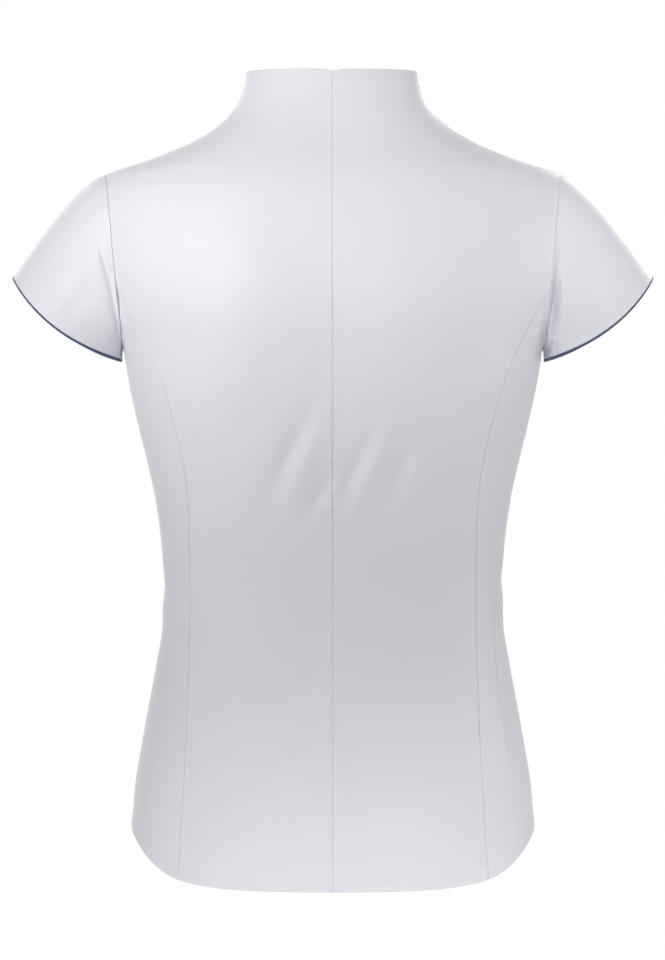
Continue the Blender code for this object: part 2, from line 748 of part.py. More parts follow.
def build():
    clear_scene()
    cloth = add_material("white_cloth", CLOTH_COLOUR, 0.75)
    piping = add_material("blue_piping", PIPING_COLOUR, 0.6)
    plastic = add_material("button_plastic", BUTTON_COLOUR, 0.25)
    for side, side_name in ((1, "left"), (-1, "right")):
        wall_solid(f"back_{side_name}", *wall_points(back_grid(), side), cloth)
        wall_solid(f"back_side_{side_name}", *wall_points(back_side_grid(), side), cloth)
        drop = lap_drop if side_name == "left" else None
        wall_solid(f"front_{side_name}", *wall_points(front_grid(), side, drop), cloth)
        add_sleeve(side, side_name, cloth, piping)
    for number, height in enumerate(np.linspace(BUTTON_FIRST, BUTTON_LAST, BUTTON_COUNT), start=1):
        add_button(number, float(height), plastic)


build()
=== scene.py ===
import math
from collections import namedtuple

import bpy
import numpy as np
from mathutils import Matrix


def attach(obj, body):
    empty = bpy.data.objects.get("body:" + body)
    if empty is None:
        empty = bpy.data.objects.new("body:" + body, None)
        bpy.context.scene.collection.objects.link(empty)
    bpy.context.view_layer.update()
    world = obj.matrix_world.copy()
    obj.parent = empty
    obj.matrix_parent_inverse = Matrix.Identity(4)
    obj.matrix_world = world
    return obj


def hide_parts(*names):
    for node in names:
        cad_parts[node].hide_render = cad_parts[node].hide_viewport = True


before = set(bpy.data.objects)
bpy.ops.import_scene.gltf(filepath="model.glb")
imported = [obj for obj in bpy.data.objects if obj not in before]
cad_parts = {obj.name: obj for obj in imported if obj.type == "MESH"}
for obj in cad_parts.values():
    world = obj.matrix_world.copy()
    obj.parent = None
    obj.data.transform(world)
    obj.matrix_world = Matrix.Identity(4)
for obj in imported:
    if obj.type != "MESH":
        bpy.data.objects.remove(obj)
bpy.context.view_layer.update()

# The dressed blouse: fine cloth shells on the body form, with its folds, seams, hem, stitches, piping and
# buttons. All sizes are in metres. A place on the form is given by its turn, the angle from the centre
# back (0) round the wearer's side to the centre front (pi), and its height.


def table(columns, *rows):
    """Rows of values with named columns."""
    row_type = namedtuple("Row", columns)
    return tuple(row_type(*row) for row in rows)


SIDES = ((1, "left"), (-1, "right"))     # the wearer's left is +X
WALL = 0.0012            # doubled cloth with its seam allowances
COLLAR_WALL = 0.0020     # the collar is faced and stiffened
COLLAR_FROM = 0.010      # height at which the wall starts to thicken
COLLAR_FULL = 0.040      # height at which it has the collar's thickness
SEAM_GAP = 0.00006       # between two neighbouring panels, along the ring
NORMAL_STEP = 0.0005     # step used to find the direction of the surface
HEM_STEP = 0.01          # step in turn used to find the slope of the hem

COLLAR_TOP = 0.088       # at the wearer's sides
COLLAR_DROP = 0.0012     # how much lower the collar's top is across the back
COLLAR_DIP = 0.0015      # notch in the collar's top edge at the centre back seam
COLLAR_DIP_TURN = math.radians(7)        # half width of that notch
SHOULDER_TIP = 0.0015
UNDERARM = -0.142
PRINCESS_TOP = -0.097    # where the princess seam meets the armhole

LAP = 0.015              # each front runs this far past the centre front
LAP_DROP = 0.0022        # the left front lies this far under the right one
LAP_CLEAR = 0.012        # past the right front's edge before the left one rises again
LAP_RISE = 0.030         # width of that rise

BUTTON_COUNT = 7
BUTTON_FIRST = -0.100
BUTTON_LAST = -0.532
BUTTON_RADIUS = 0.0055
BUTTON_THICKNESS = 0.0022

# Height, half width, depth behind and in front of the shoulder line, and how square the ring is.
# Between the shoulder tips and the underarm a ring runs on past the armhole, where the sleeve is.
RINGS = table(
    "height half_width back_depth front_depth squareness",
    (-0.610, 0.1715, 0.1090, 0.1175, 2.30),
    (-0.543, 0.1685, 0.1065, 0.1160, 2.30),
    (-0.510, 0.1660, 0.1035, 0.1140, 2.30),
    (-0.476, 0.1605, 0.0985, 0.1110, 2.28),
    (-0.443, 0.1546, 0.0925, 0.1070, 2.25),
    (-0.409, 0.1483, 0.0865, 0.1030, 2.25),
    (-0.375, 0.1430, 0.0820, 0.1000, 2.25),
    (-0.342, 0.1420, 0.0800, 0.0980, 2.25),
    (-0.308, 0.1440, 0.0820, 0.0990, 2.28),
    (-0.275, 0.1483, 0.0860, 0.1020, 2.30),
    (-0.241, 0.1554, 0.0920, 0.1070, 2.33),
    (-0.207, 0.1638, 0.0985, 0.1130, 2.36),
    (-0.174, 0.1712, 0.1040, 0.1170, 2.38),
    (-0.142, 0.1765, 0.1070, 0.1175, 2.40),
    (-0.130, 0.1815, 0.1080, 0.1160, 2.40),
    (-0.115, 0.1910, 0.1085, 0.1135, 2.36),
    (-0.095, 0.2010, 0.1080, 0.1100, 2.32),
    (-0.075, 0.2080, 0.1060, 0.1050, 2.27),
    (-0.055, 0.2130, 0.1030, 0.0985, 2.22),
    (-0.028, 0.2150, 0.0965, 0.0880, 2.15),
    (-0.015, 0.2110, 0.0920, 0.0815, 2.12),
    (-0.006, 0.2025, 0.0880, 0.0765, 2.12),
    (0.0015, 0.1905, 0.0836, 0.0722, 2.18),
    (0.006, 0.1778, 0.0806, 0.0698, 2.28),
    (0.011, 0.1608, 0.0770, 0.0670, 2.40),
    (0.016, 0.1472, 0.0733, 0.0643, 2.50),
    (0.021, 0.1346, 0.0697, 0.0618, 2.56),
    (0.026, 0.1226, 0.0662, 0.0598, 2.66),
    (0.031, 0.1131, 0.0628, 0.0584, 2.66),
    (0.036, 0.1046, 0.0597, 0.0572, 2.62),
    (0.041, 0.0980, 0.0570, 0.0562, 2.54),
    (0.051, 0.0876, 0.0527, 0.0544, 2.35),
    (0.061, 0.0808, 0.0493, 0.0529, 2.20),
    (0.072, 0.0762, 0.0466, 0.0515, 2.08),
    (0.088, 0.0727, 0.0440, 0.0500, 2.00),
    (0.100, 0.0715, 0.0430, 0.0495, 2.00),
)

# How far the armhole's edge is from the centre line, at each height.
ARMHOLE = table(
    "height reach",
    (-0.142, 0.1765),
    (-0.130, 0.1762),
    (-0.097, 0.1788),
    (-0.064, 0.1822),
    (-0.031, 0.1853),
    (-0.006, 0.1885),
    (0.0015, 0.1905),
)

# How far the back's princess seam is from the centre line. It ends at the armhole.
PRINCESS = table(
    "height reach",
    (-0.600, 0.1285),
    (-0.558, 0.1262),
    (-0.493, 0.1224),
    (-0.428, 0.1198),
    (-0.362, 0.1186),
    (-0.296, 0.1191),
    (-0.263, 0.1209),
    (-0.230, 0.1262),
    (-0.197, 0.1343),
    (-0.164, 0.1453),
    (-0.130, 0.1606),
    (-0.097, 0.1788),
)

# How far the front's neck edge is from the centre front. Below zero it runs on into the lap.
NECKLINE = table(
    "height reach",
    (0.0880, 0.0727),
    (0.0865, 0.0690),
    (0.0820, 0.0655),
    (0.0720, 0.0620),
    (0.0550, 0.0575),
    (0.0350, 0.0520),
    (0.0150, 0.0455),
    (-0.0050, 0.0375),
    (-0.0250, 0.0288),
    (-0.0450, 0.0182),
    (-0.0600, 0.0085),
    (-0.0715, 0.0000),
    (-0.0910, -LAP),
)

# The side seam lies at the wearer's side down to the waist, and behind it from there to the hem. Its
# turn is in degrees.
SIDE_SEAM = table(
    "height degrees",
    (-0.600, 71.3),
    (-0.462, 71.4),
    (-0.433, 72.2),
    (-0.399, 74.2),
    (-0.363, 77.6),
    (-0.330, 82.0),
    (-0.300, 87.0),
    (-0.265, 90.0),
    (-0.142, 90.0),
)

# The hem, at turns in degrees, is level at the centre back and front, and rises at the sides.
HEM = table(
    "degrees height",
    (0, -0.5903),
    (21, -0.5901),
    (40, -0.5890),
    (51, -0.5863),
    (58.5, -0.5825),
    (64.6, -0.5758),
    (71.4, -0.5648),
    (77.6, -0.5545),
    (85, -0.5465),
    (95, -0.5430),
    (106, -0.5470),
    (120, -0.5620),
    (132, -0.5765),
    (144, -0.5855),
    (156, -0.5895),
    (166, -0.5903),
    (195, -0.5903),
)

# Broad rises that the cut gives each side of the body form: x, height, spread each way, rise.
FRONT_BUMPS = table(
    "x height spread_x spread_z rise",
    (0.078, -0.166, 0.060, 0.055, 0.0200),    # bust darts
    (-0.078, -0.166, 0.060, 0.055, 0.0200),
)
BACK_BUMPS = table(
    "x height spread_x spread_z rise",
    (0.084, -0.110, 0.046, 0.085, 0.0060),    # shoulder blades
    (-0.084, -0.110, 0.046, 0.085, 0.0060),
    (0.000, -0.190, 0.030, 0.120, -0.0025),   # hollow along the centre back seam
)

# Drag folds in the back: middle, half length, half width, direction that each runs in, rise.
FOLDS = table(
    "across height half_length half_width run_across run_z rise",
    (0.0345, -0.2290, 0.040, 0.0085, 0.43, -0.90, -0.0030),
    (0.0222, -0.2400, 0.036, 0.0080, 0.37, -0.93, 0.0030),
    (0.0095, -0.2660, 0.022, 0.0070, 0.50, -0.87, -0.0034),
    (-0.0165, -0.2470, 0.032, 0.0075, 0.42, -0.91, -0.0024),
    (-0.0335, -0.2450, 0.038, 0.0075, 0.40, -0.92, 0.0036),
    (-0.0530, -0.2520, 0.040, 0.0090, 0.42, -0.91, -0.0036),
    (-0.0690, -0.2460, 0.040, 0.0090, 0.05, -1.00, 0.0014),
    (0.0270, -0.4270, 0.028, 0.0090, 0.82, -0.57, -0.0024),
    (0.0296, -0.4537, 0.030, 0.0090, 0.67, -0.74, 0.0032),
    (0.0230, -0.4780, 0.025, 0.0080, 0.85, -0.53, -0.0034),
    (-0.0140, -0.4740, 0.020, 0.0075, 0.92, -0.39, -0.0036),
)

# The sleeve's open end, seen from behind: its outer tip, its lowest point under the arm, how far it
# bows outwards between them, and half its depth from front to back.
SLEEVE_TIP_X, SLEEVE_TIP_Z = 0.2682, -0.0841
SLEEVE_LOW_X, SLEEVE_LOW_Z = 0.1773, -0.1530
SLEEVE_BOW = 0.0114
SLEEVE_HALF_DEPTH = 0.0520
# The way the cloth leaves the armhole and arrives at the open end, over and under the arm: angle
# below level, and how far that direction carries.
LEAVE_OVER, LEAVE_UNDER = math.radians(18), math.radians(88)
ARRIVE_OVER, ARRIVE_UNDER = math.radians(54), math.radians(85)
LEAVE_REACH_OVER, LEAVE_REACH_UNDER = 0.030, 0.004
ARRIVE_REACH_OVER, ARRIVE_REACH_UNDER = 0.025, 0.004
SLEEVE_GAP = 0.0001      # from the armhole's edge to the sleeve
SLEEVE_GIRTH = 0.330     # round the arm, along the cloth's threads
SLEEVE_WALL = 0.0012
# The crease that the sleeve makes beside the armhole, behind and in front of the arm.
CREASE_DEPTH = 0.0050
CREASE_ALONG = 0.13      # where it lies, as a share of the way to the open end
CREASE_WIDTH = 0.10
CREASE_ROUND = math.radians(112)
CREASE_SPREAD = math.radians(30)
CREASE_SHARE = {1: 0.40, -1: 1.0}    # how much of it each sleeve shows

PIPING_PROUD = 0.0002    # past the sleeve's wall, on each face

# Relief belongs to one face of the blouse, and fades in as that face turns towards it.
FACE_FROM, FACE_FULL = -0.02, 0.03       # behind or before the shoulder line
BUST_FROM, BUST_FULL = 0.02, 0.06
SIDE_FROM, SIDE_FULL = 0.06, 0.12        # from the centre line


def slopes(place, value):
    """Slopes that carry a smooth curve through each column without overshoot."""
    step = np.diff(place)[:, None]
    rise = np.diff(value, axis=0) / step
    same = rise[:-1] * rise[1:] > 0
    safe = np.where(same, rise[:-1] + rise[1:], 1.0)
    middle = np.where(same, 2 * rise[:-1] * rise[1:] / safe, 0.0)
    return np.vstack([rise[:1], middle, rise[-1:]])


def smooth_table(rows):
    """A function that reads the rows of a table, sorted by their first column, at any place."""
    data = np.array(sorted(tuple(row) for row in rows), float)
    place, value = data[:, 0], data[:, 1:]
    slope = slopes(place, value)

    def read(at):
        at = np.clip(np.asarray(at, float), place[0], place[-1])
        k = np.clip(np.searchsorted(place, at) - 1, 0, len(place) - 2)
        width = place[k + 1] - place[k]
        t = ((at - place[k]) / width)[..., None]
        width = width[..., None]
        found = (
            value[k] * (1 + 2 * t) * (1 - t) ** 2
            + slope[k] * width * t * (1 - t) ** 2
            + value[k + 1] * t * t * (3 - 2 * t)
            + slope[k + 1] * width * t * t * (t - 1)
        )
        return [found[..., c] for c in range(found.shape[-1])]

    return read


ring_at = smooth_table(RINGS)
armhole_at = smooth_table(ARMHOLE)
princess_at = smooth_table(PRINCESS)
neckline_at = smooth_table(NECKLINE)
side_seam_at = smooth_table(SIDE_SEAM)
hem_at = smooth_table(HEM)


def ease(low, high, value):
    """0 below low, 1 above high, and a smooth rise between."""
    t = np.clip((value - low) / (high - low), 0.0, 1.0)
    return t * t * (3 - 2 * t)


def bump_rise(bumps, x, height):
    return sum(
        b.rise * np.exp(-((x - b.x) / b.spread_x) ** 2 - ((height - b.height) / b.spread_z) ** 2)
        for b in bumps
    )


def fold_bell(fold, across, height):
    """1 at a fold's middle, falling off along it and across it."""
    aside, above = across - fold.across, height - fold.height
    long = aside * fold.run_across + above * fold.run_z
    wide = aside * fold.run_z - above * fold.run_across
    return np.exp(-((long / fold.half_length) ** 2) - (wide / fold.half_width) ** 2)


def fold_rise(x, height):
    return sum(fold.rise * fold_bell(fold, x, height) for fold in FOLDS)


def ring_radius(turn, height):
    half_width, back, front, square = ring_at(height)
    depth = np.where(np.cos(turn) > 0, back, front)
    across = np.abs(np.sin(turn)) / half_width
    along = np.abs(np.cos(turn)) / depth
    return (across**square + along**square) ** (-1 / square)


def form(turn, height, side):
    """The body form's outer surface, with the cut's broad rises and the drag folds on it."""
    radius = ring_radius(turn, height)
    x = side * radius * np.sin(turn)
    y = radius * np.cos(turn)
    rise = bump_rise(BACK_BUMPS, x, height) + fold_rise(x, height)
    swell = bump_rise(FRONT_BUMPS, x, height)
    y = y + ease(FACE_FROM, FACE_FULL, y) * rise - ease(BUST_FROM, BUST_FULL, -y) * swell
    return np.stack([x, y, np.asarray(height, float) + 0 * x], axis=-1)


def outward(turn, height, side):
    """Unit normals of the body form, pointing away from the wearer."""
    turn_step = NORMAL_STEP / ring_radius(turn, height)
    across = form(turn + turn_step, height, side) - form(turn - turn_step, height, side)
    up = form(turn, height + NORMAL_STEP, side) - form(turn, height - NORMAL_STEP, side)
    normal = np.cross(up, across) * side
    return normal / np.linalg.norm(normal, axis=-1, keepdims=True)


def turn_behind(reach, height):
    """The turn, on the back half of the ring, at a distance from the centre line."""
    half_width, back, _, square = ring_at(height)
    share = np.clip(reach / half_width, 0.0, 1.0)
    return np.arctan2(reach, back * (1 - share**square) ** (1 / square))


def turn_before(reach, height):
    """The same on the front half. A reach below zero is past the centre front."""
    half_width, _, front, square = ring_at(height)
    share = np.clip(np.abs(reach) / half_width, 0.0, 1.0)
    depth = front * (1 - share**square) ** (1 / square)
    return math.pi - np.arctan2(reach, depth)


def armhole_turn(height, behind):
    (reach,) = armhole_at(height)
    return turn_behind(reach, height) if behind else turn_before(reach, height)


def gap_turn(turn, height):
    """Half the seam's gap, as a turn."""
    return SEAM_GAP / 2 / ring_radius(turn, height)


def hem_height(turn):
    return hem_at(np.degrees(turn))[0]


def hem_slope(turn, height):
    """How steeply the hem climbs along the ring."""
    rise = hem_height(turn + HEM_STEP) - hem_height(turn - HEM_STEP)
    return rise / (2 * HEM_STEP) / ring_radius(turn, height)


def seam_foot(seam_turn):
    """The height at which a seam, given by its turn at a height, meets the hem."""
    height = HEM[0].height
    for _ in range(8):
        height = float(hem_height(seam_turn(height)))
    return height


def princess_turn(height):
    return turn_behind(princess_at(height)[0], height)


def side_turn(height):
    return np.radians(side_seam_at(height)[0])


def front_edge_turn(height):
    return turn_before(-LAP + 0 * np.asarray(height, float), height)


def mix_under(over, under, round_angle):
    """A value that goes from over the arm to under it."""
    return over + (under - over) * (1 - np.cos(round_angle)) / 2


def armhole_loop(round_angle):
    """Points of the armhole's edge, just outside the panels' edges."""
    height = mix_under(SHOULDER_TIP, UNDERARM, round_angle)
    (reach,) = armhole_at(height)
    behind = np.sin(round_angle) >= 0
    turn = np.where(behind, turn_behind(reach, height), turn_before(reach, height))
    points = form(turn, height, 1)
    points[..., 0] += SLEEVE_GAP
    return points


def open_end(round_angle):
    """Points of the sleeve's open end."""
    middle_x, middle_z = (SLEEVE_TIP_X + SLEEVE_LOW_X) / 2, (SLEEVE_TIP_Z + SLEEVE_LOW_Z) / 2
    half_x, half_z = (SLEEVE_TIP_X - SLEEVE_LOW_X) / 2, (SLEEVE_TIP_Z - SLEEVE_LOW_Z) / 2
    half = math.hypot(half_x, half_z)
    bow = SLEEVE_BOW * np.sin(round_angle) ** 2
    x = middle_x + half_x * np.cos(round_angle) + bow * half_z / half
    z = middle_z + half_z * np.cos(round_angle) - bow * half_x / half
    return np.stack([x, SLEEVE_HALF_DEPTH * np.sin(round_angle), z], axis=-1)


def downward(angle):
    """The direction at an angle below level, away from the body."""
    return np.stack([np.cos(angle), 0 * angle, -np.sin(angle)], axis=-1)


def arrival(round_angle):
    share = ((1 - np.cos(round_angle)) / 2) ** 2
    return downward(ARRIVE_OVER + (ARRIVE_UNDER - ARRIVE_OVER) * share)


def sleeve_surface(round_angle, share):
    """The sleeve's outer surface: a curved path from the armhole to the open end, at each angle."""
    leave = downward(mix_under(LEAVE_OVER, LEAVE_UNDER, round_angle))
    leave_reach = mix_under(LEAVE_REACH_OVER, LEAVE_REACH_UNDER, round_angle)[..., None]
    arrive_reach = mix_under(ARRIVE_REACH_OVER, ARRIVE_REACH_UNDER, round_angle)[..., None]
    start, end = armhole_loop(round_angle), open_end(round_angle)
    first = start + leave * leave_reach
    second = end - arrival(round_angle) * arrive_reach
    t = np.asarray(share, float)[..., None]
    return (
        start * (1 - t) ** 3
        + first * 3 * t * (1 - t) ** 2
        + second * 3 * t * t * (1 - t)
        + end * t**3
    )


def sleeve_crease(round_angle, share):
    """Depth of the creases beside the armhole."""
    along = np.exp(-(((share - CREASE_ALONG) / CREASE_WIDTH) ** 2))
    from_behind = np.abs(np.angle(np.exp(1j * (round_angle - CREASE_ROUND)))) / CREASE_SPREAD
    from_front = np.abs(np.angle(np.exp(1j * (round_angle + CREASE_ROUND)))) / CREASE_SPREAD
    return CREASE_DEPTH * along * (np.exp(-(from_behind**2)) + np.exp(-(from_front**2)))


def grid_normals(points):
    """Outward unit normals of a closed grid: rows along the sleeve, columns round it."""
    round_step = np.roll(points, -1, axis=1) - np.roll(points, 1, axis=1)
    along_step = np.gradient(points, axis=0)
    normal = np.cross(along_step, round_step)
    return normal / np.linalg.norm(normal, axis=-1, keepdims=True)


def mirrored(points, side):
    return points * np.array([side, 1, 1])


# ---------------------------------------------------------------- fine relief of the cloth

SEAM_ROLL, SEAM_ROLL_WIDTH = 0.00075, 0.0010      # cloth rolling into a seam
SEAM_PRESS, PRESS_PLACE, PRESS_WIDTH = 0.00012, 0.0020, 0.0009    # the pressed allowance beside it
TIGHT_ROLL, TIGHT_ROLL_WIDTH = 0.00012, 0.0004    # of the panel that the allowances are pressed under
EDGE_ROLL_SHARE, EDGE_ROLL_WIDTH = 0.42, 0.6      # of the wall, on each face of a free edge
HEM_DEPTH = 0.0090                                # the turned-up hem
HEM_PROUD = 0.00045
HEM_EDGE_FROM, HEM_EDGE_TO = 0.0003, 0.0008       # below and above the turned edge, over which it ends
HEM_STITCH = 0.0010                               # from the turned edge to its stitches
HEM_DRAW, HEM_DRAW_WIDTH = 0.00022, 0.0007        # how far the stitches pull the cloth in
ARMHOLE_TROUGH, TROUGH_PLACE, TROUGH_WIDTH = 0.00035, 0.0062, 0.0032    # past the ridge beside the armhole
# At each armhole: how far the sleeve rolls into the seam, and the ridge of the allowances on the body.
ArmholeEdge = namedtuple("ArmholeEdge", "roll ridge place width")
ARMHOLE_EDGES = {
    1: ArmholeEdge(0.00050, 0.00030, 0.0012, 0.0010),
    -1: ArmholeEdge(0.0, 0.00115, 0.0009, 0.0011),
}
RIDGE_FADE = 0.016       # below the shoulder's tip, over which the ridge rises

# Steps from a panel's edge to its nearest columns and rows, where the cloth rolls into the seam.
EDGE_STEPS = (0.0, 0.00012, 0.0003, 0.00055, 0.0008, 0.0011, 0.0015, 0.0020, 0.0026, 0.0034, 0.0046, 0.0065,
              0.0090)
HEM_STEPS = (0.0, 0.00025, 0.0006, 0.0012, 0.0022, 0.0036, 0.0050, 0.0060, 0.0066, 0.0071, 0.0076, 0.0081,
             0.0086, 0.0091, 0.0096, 0.0102, 0.0109, 0.0117, 0.0127, 0.0140)
TOP_STEPS = (0.0040, 0.0026, 0.0017, 0.0011, 0.0007, 0.0004, 0.00015, 0.0)
SIDE_TOP_STEPS = (0.0090, 0.0065, 0.0045, *TOP_STEPS[1:])
PITCH, FINE_PITCH = 0.0032, 0.0018                # rows of the fronts, and of the back
BACK_COLUMNS, SIDE_COLUMNS, FRONT_COLUMNS = 52, 18, 70
BACK_ARMHOLE_ROWS, FRONT_ARMHOLE_ROWS = 40, 64
BACK_COLLAR_ROWS, FRONT_COLLAR_ROWS = 62, 54
ARMHOLE_MARGIN = 0.001                            # past the armhole's ends, where rows still count as its
FADE_KERNEL = (0.1, 0.2, 0.4, 0.2, 0.1)
COLLAR_CROWDING = 1.25                            # rows are closer together at the shoulder's tip
NECK_CROWDING = 1.5                               # columns are closer together at the neck's side
MEASURING_COLUMNS = 33                            # of the coarse grid that finds each row's width

# Finer folds on each face: place along it, height, half length, half width, direction, rise.
FINE_FOLDS = table(
    "face across height half_length half_width run_across run_z rise",
    ("back", 0.0100, -0.2740, 0.010, 0.0050, 0.30, -0.95, 0.0006),
    ("back", 0.0560, -0.2250, 0.040, 0.0120, 0.30, -0.95, 0.0005),
    ("back", -0.0560, -0.2100, 0.030, 0.0070, 0.45, -0.89, -0.0006),
    ("back", 0.0190, -0.4020, 0.024, 0.0080, 0.62, -0.78, 0.0008),
    ("back", 0.0700, -0.3400, 0.060, 0.0130, 0.15, -0.99, -0.0005),
    ("back", -0.0820, -0.3300, 0.055, 0.0120, -0.10, -0.99, 0.0005),
    ("back", -0.0450, -0.4300, 0.045, 0.0110, -0.30, -0.95, 0.0004),
    ("back", 0.0900, -0.0300, 0.045, 0.0140, 0.80, 0.60, -0.0004),
    ("back", -0.0850, -0.0250, 0.050, 0.0130, -0.75, 0.66, -0.0005),
    ("front", 0.0300, -0.2900, 0.050, 0.0100, 0.35, -0.94, -0.0012),
    ("front", 0.0420, -0.3000, 0.046, 0.0090, 0.40, -0.92, 0.0011),
    ("front", -0.0360, -0.2860, 0.044, 0.0100, 0.44, -0.90, -0.0011),
    ("front", -0.0500, -0.3050, 0.050, 0.0095, 0.30, -0.95, 0.0012),
    ("front", 0.0450, -0.4300, 0.036, 0.0090, -0.70, -0.71, 0.0010),
    ("front", -0.0400, -0.4450, 0.032, 0.0100, 0.72, -0.69, -0.0010),
    ("front", 0.1150, -0.1200, 0.038, 0.0110, 0.55, 0.83, -0.0012),
    ("front", -0.1150, -0.1240, 0.042, 0.0100, -0.50, 0.86, -0.0013),
    ("back", 0.1750, -0.1090, 0.015, 0.0036, -0.40, -0.92, -0.0016),
    ("back", 0.1600, -0.1450, 0.022, 0.0090, -0.45, -0.89, -0.0014),
    ("back", 0.1660, -0.1250, 0.020, 0.0035, -0.30, -0.95, 0.0007),
    ("left", 0.0100, -0.3450, 0.030, 0.0070, 0.94, -0.34, -0.0009),
    ("left", -0.0150, -0.3680, 0.036, 0.0080, 0.97, 0.22, 0.0008),
    ("left", -0.0300, -0.2050, 0.040, 0.0100, 0.70, 0.71, -0.0010),
    ("right", 0.0080, -0.3380, 0.028, 0.0070, 0.96, -0.28, -0.0010),
    ("right", -0.0200, -0.3620, 0.034, 0.0085, 0.95, 0.30, 0.0009),
    ("right", -0.0260, -0.2100, 0.038, 0.0100, 0.68, 0.73, -0.0009),
    ("right", 0.0420, -0.5150, 0.010, 0.0030, 0.95, 0.30, 0.0006),
    ("right", 0.0400, -0.5320, 0.009, 0.0028, 0.97, -0.20, 0.0005),
)

# Puckers that the centre back seam draws in the cloth: side, height, half width, reach, rise.
PUCKERS = table(
    "side height half_width reach rise",
    (1, -0.1980, 0.0030, 0.008, -0.00060),
    (1, -0.2290, 0.0018, 0.007, -0.00085),
    (1, -0.2405, 0.0017, 0.008, -0.00100),
    (1, -0.2500, 0.0016, 0.009, -0.00080),
    (1, -0.2690, 0.0022, 0.012, -0.00120),
    (1, -0.2815, 0.0018, 0.010, -0.00100),
    (1, -0.2990, 0.0020, 0.006, -0.00050),
    (-1, -0.3690, 0.0022, 0.009, -0.00080),
    (-1, -0.4100, 0.0024, 0.012, -0.00095),
    (-1, -0.4440, 0.0026, 0.011, -0.00085),
)
PUCKER_FADE = 0.03       # behind the shoulder line, over which the puckers fade in
RIPPLE, RIPPLE_REACH = 0.00007, 0.0060    # the slight unevenness beside every seam
CENTRE_FADE = 0.02       # behind the shoulder line, over which that of the centre seam fades in
HEM_RIPPLE, HEM_RIPPLE_FROM = 0.6, 0.002
RIPPLE_FADE = 0.005      # past a seam's upper end, over which its unevenness fades out
RIPPLE_WAVES = ((0.0017, 0.0), (0.00103, 1.7), (0.0029, 0.6))    # length and phase of each


def face_folds(x, y, height):
    """Rise of the finer folds, each faded out where its face of the blouse turns away."""
    faces = {
        "back": (x, ease(FACE_FROM, FACE_FULL, y)),
        "front": (x, ease(FACE_FROM, FACE_FULL, -y)),
        "left": (y, ease(SIDE_FROM, SIDE_FULL, x)),
        "right": (y, ease(SIDE_FROM, SIDE_FULL, -x)),
    }
    total = np.zeros_like(x)
    for fold in FINE_FOLDS:
        across, shown = faces[fold.face]
        total += fold.rise * shown * fold_bell(fold, across, height)
    return total


def pucker_rise(x, y, height, side):
    total = np.zeros_like(x)
    for pucker in PUCKERS:
        if pucker.side == side:
            bell = np.exp(-(((height - pucker.height) / pucker.half_width) ** 2) - np.abs(x) / pucker.reach)
            total += pucker.rise * bell
    return total * ease(0.0, PUCKER_FADE, y)


def ripple(distance, along):
    """Slight unevenness of the cloth near a seam."""
    wave = sum(np.sin(along / length + phase) for length, phase in RIPPLE_WAVES)
    return RIPPLE * wave * np.exp(-np.abs(distance) / RIPPLE_REACH)


def hem_distance(turn, height):
    """How far a place is from the hem's edge, square to it."""
    return (height - hem_height(turn)) / np.sqrt(1 + hem_slope(turn, height) ** 2)


def hem_relief(distance):
    band = HEM_PROUD * (1 - ease(HEM_DEPTH - HEM_EDGE_FROM, HEM_DEPTH + HEM_EDGE_TO, distance))
    stitched = HEM_DRAW * np.exp(-(((distance - HEM_DEPTH + HEM_STITCH) / HEM_DRAW_WIDTH) ** 2))
    return band - stitched


def relief(turn, height, side):
    """How far the finished cloth stands out from the plain form. Each seam has an unevenness of its own."""
    plain = form(turn, height, side)
    x, y = plain[..., 0], plain[..., 1]
    radius = ring_radius(turn, height)
    seams = ripple(x, height + 0.3 * side) * ease(0.0, CENTRE_FADE, y)
    below = ease(-RIPPLE_FADE, RIPPLE_FADE, PRINCESS_TOP - height)
    seams += ripple((turn - princess_turn(height)) * radius, height * 1.13 + side) * below
    below = ease(-RIPPLE_FADE, RIPPLE_FADE, UNDERARM - height)
    seams += ripple((turn - side_turn(height)) * radius, height * 0.91 - side) * below
    distance = hem_distance(turn, height)
    past_hem = np.maximum(distance - HEM_DEPTH, 0) + HEM_RIPPLE_FROM
    seams += HEM_RIPPLE * ripple(past_hem, turn * 0.13 + side)
    return face_folds(x, y, height) + pucker_rise(x, y, height, side) + seams + hem_relief(distance)


def lap_drop(turn, height):
    """How far the left front is pushed in, so that the right one laps over it."""
    from_centre = ring_radius(turn, height) * np.sin(turn)
    inner = LAP + LAP_CLEAR
    return LAP_DROP * (1 - ease(inner, inner + LAP_RISE, from_centre))


def dressed(turn, height, side, drop=None):
    """The finished cloth's outer surface, and the direction it faces."""
    normal = outward(turn, height, side)
    rise = relief(turn, height, side)
    if drop is not None:
        rise = rise - drop(turn, height)
    return form(turn, height, side) + normal * rise[..., None], normal


# ---------------------------------------------------------------- panels as fine grids


def collar_top(turn):
    """Height of the collar's top edge on the back panel."""
    dip = COLLAR_DIP * np.exp(-((turn / COLLAR_DIP_TURN) ** 2))
    return COLLAR_TOP - COLLAR_DROP * np.cos(turn) ** 2 - dip


def pairs(turn, height):
    turn, height = np.broadcast_arrays(turn, height)
    return np.stack([turn, height], axis=-1)


def coons(left, right, bottom, top, across, up):
    """A grid of (turn, height) that fills four edges. left and right hold one point a row, bottom and
    top are functions of the share across, and across may differ from row to row."""
    s = across[..., None]
    v = up[:, None, None]
    first, last = np.zeros(1), np.ones(1)
    left, right = left.copy(), right.copy()
    left[0], right[0] = bottom(first)[0], bottom(last)[0]
    left[-1], right[-1] = top(first)[0], top(last)[0]
    corners = (1 - s) * (1 - v) * left[0] + s * (1 - v) * right[0]
    corners = corners + (1 - s) * v * left[-1] + s * v * right[-1]
    return (
        (1 - v) * bottom(across) + v * top(across) + (1 - s) * left[:, None] + s * right[:, None] - corners
    )


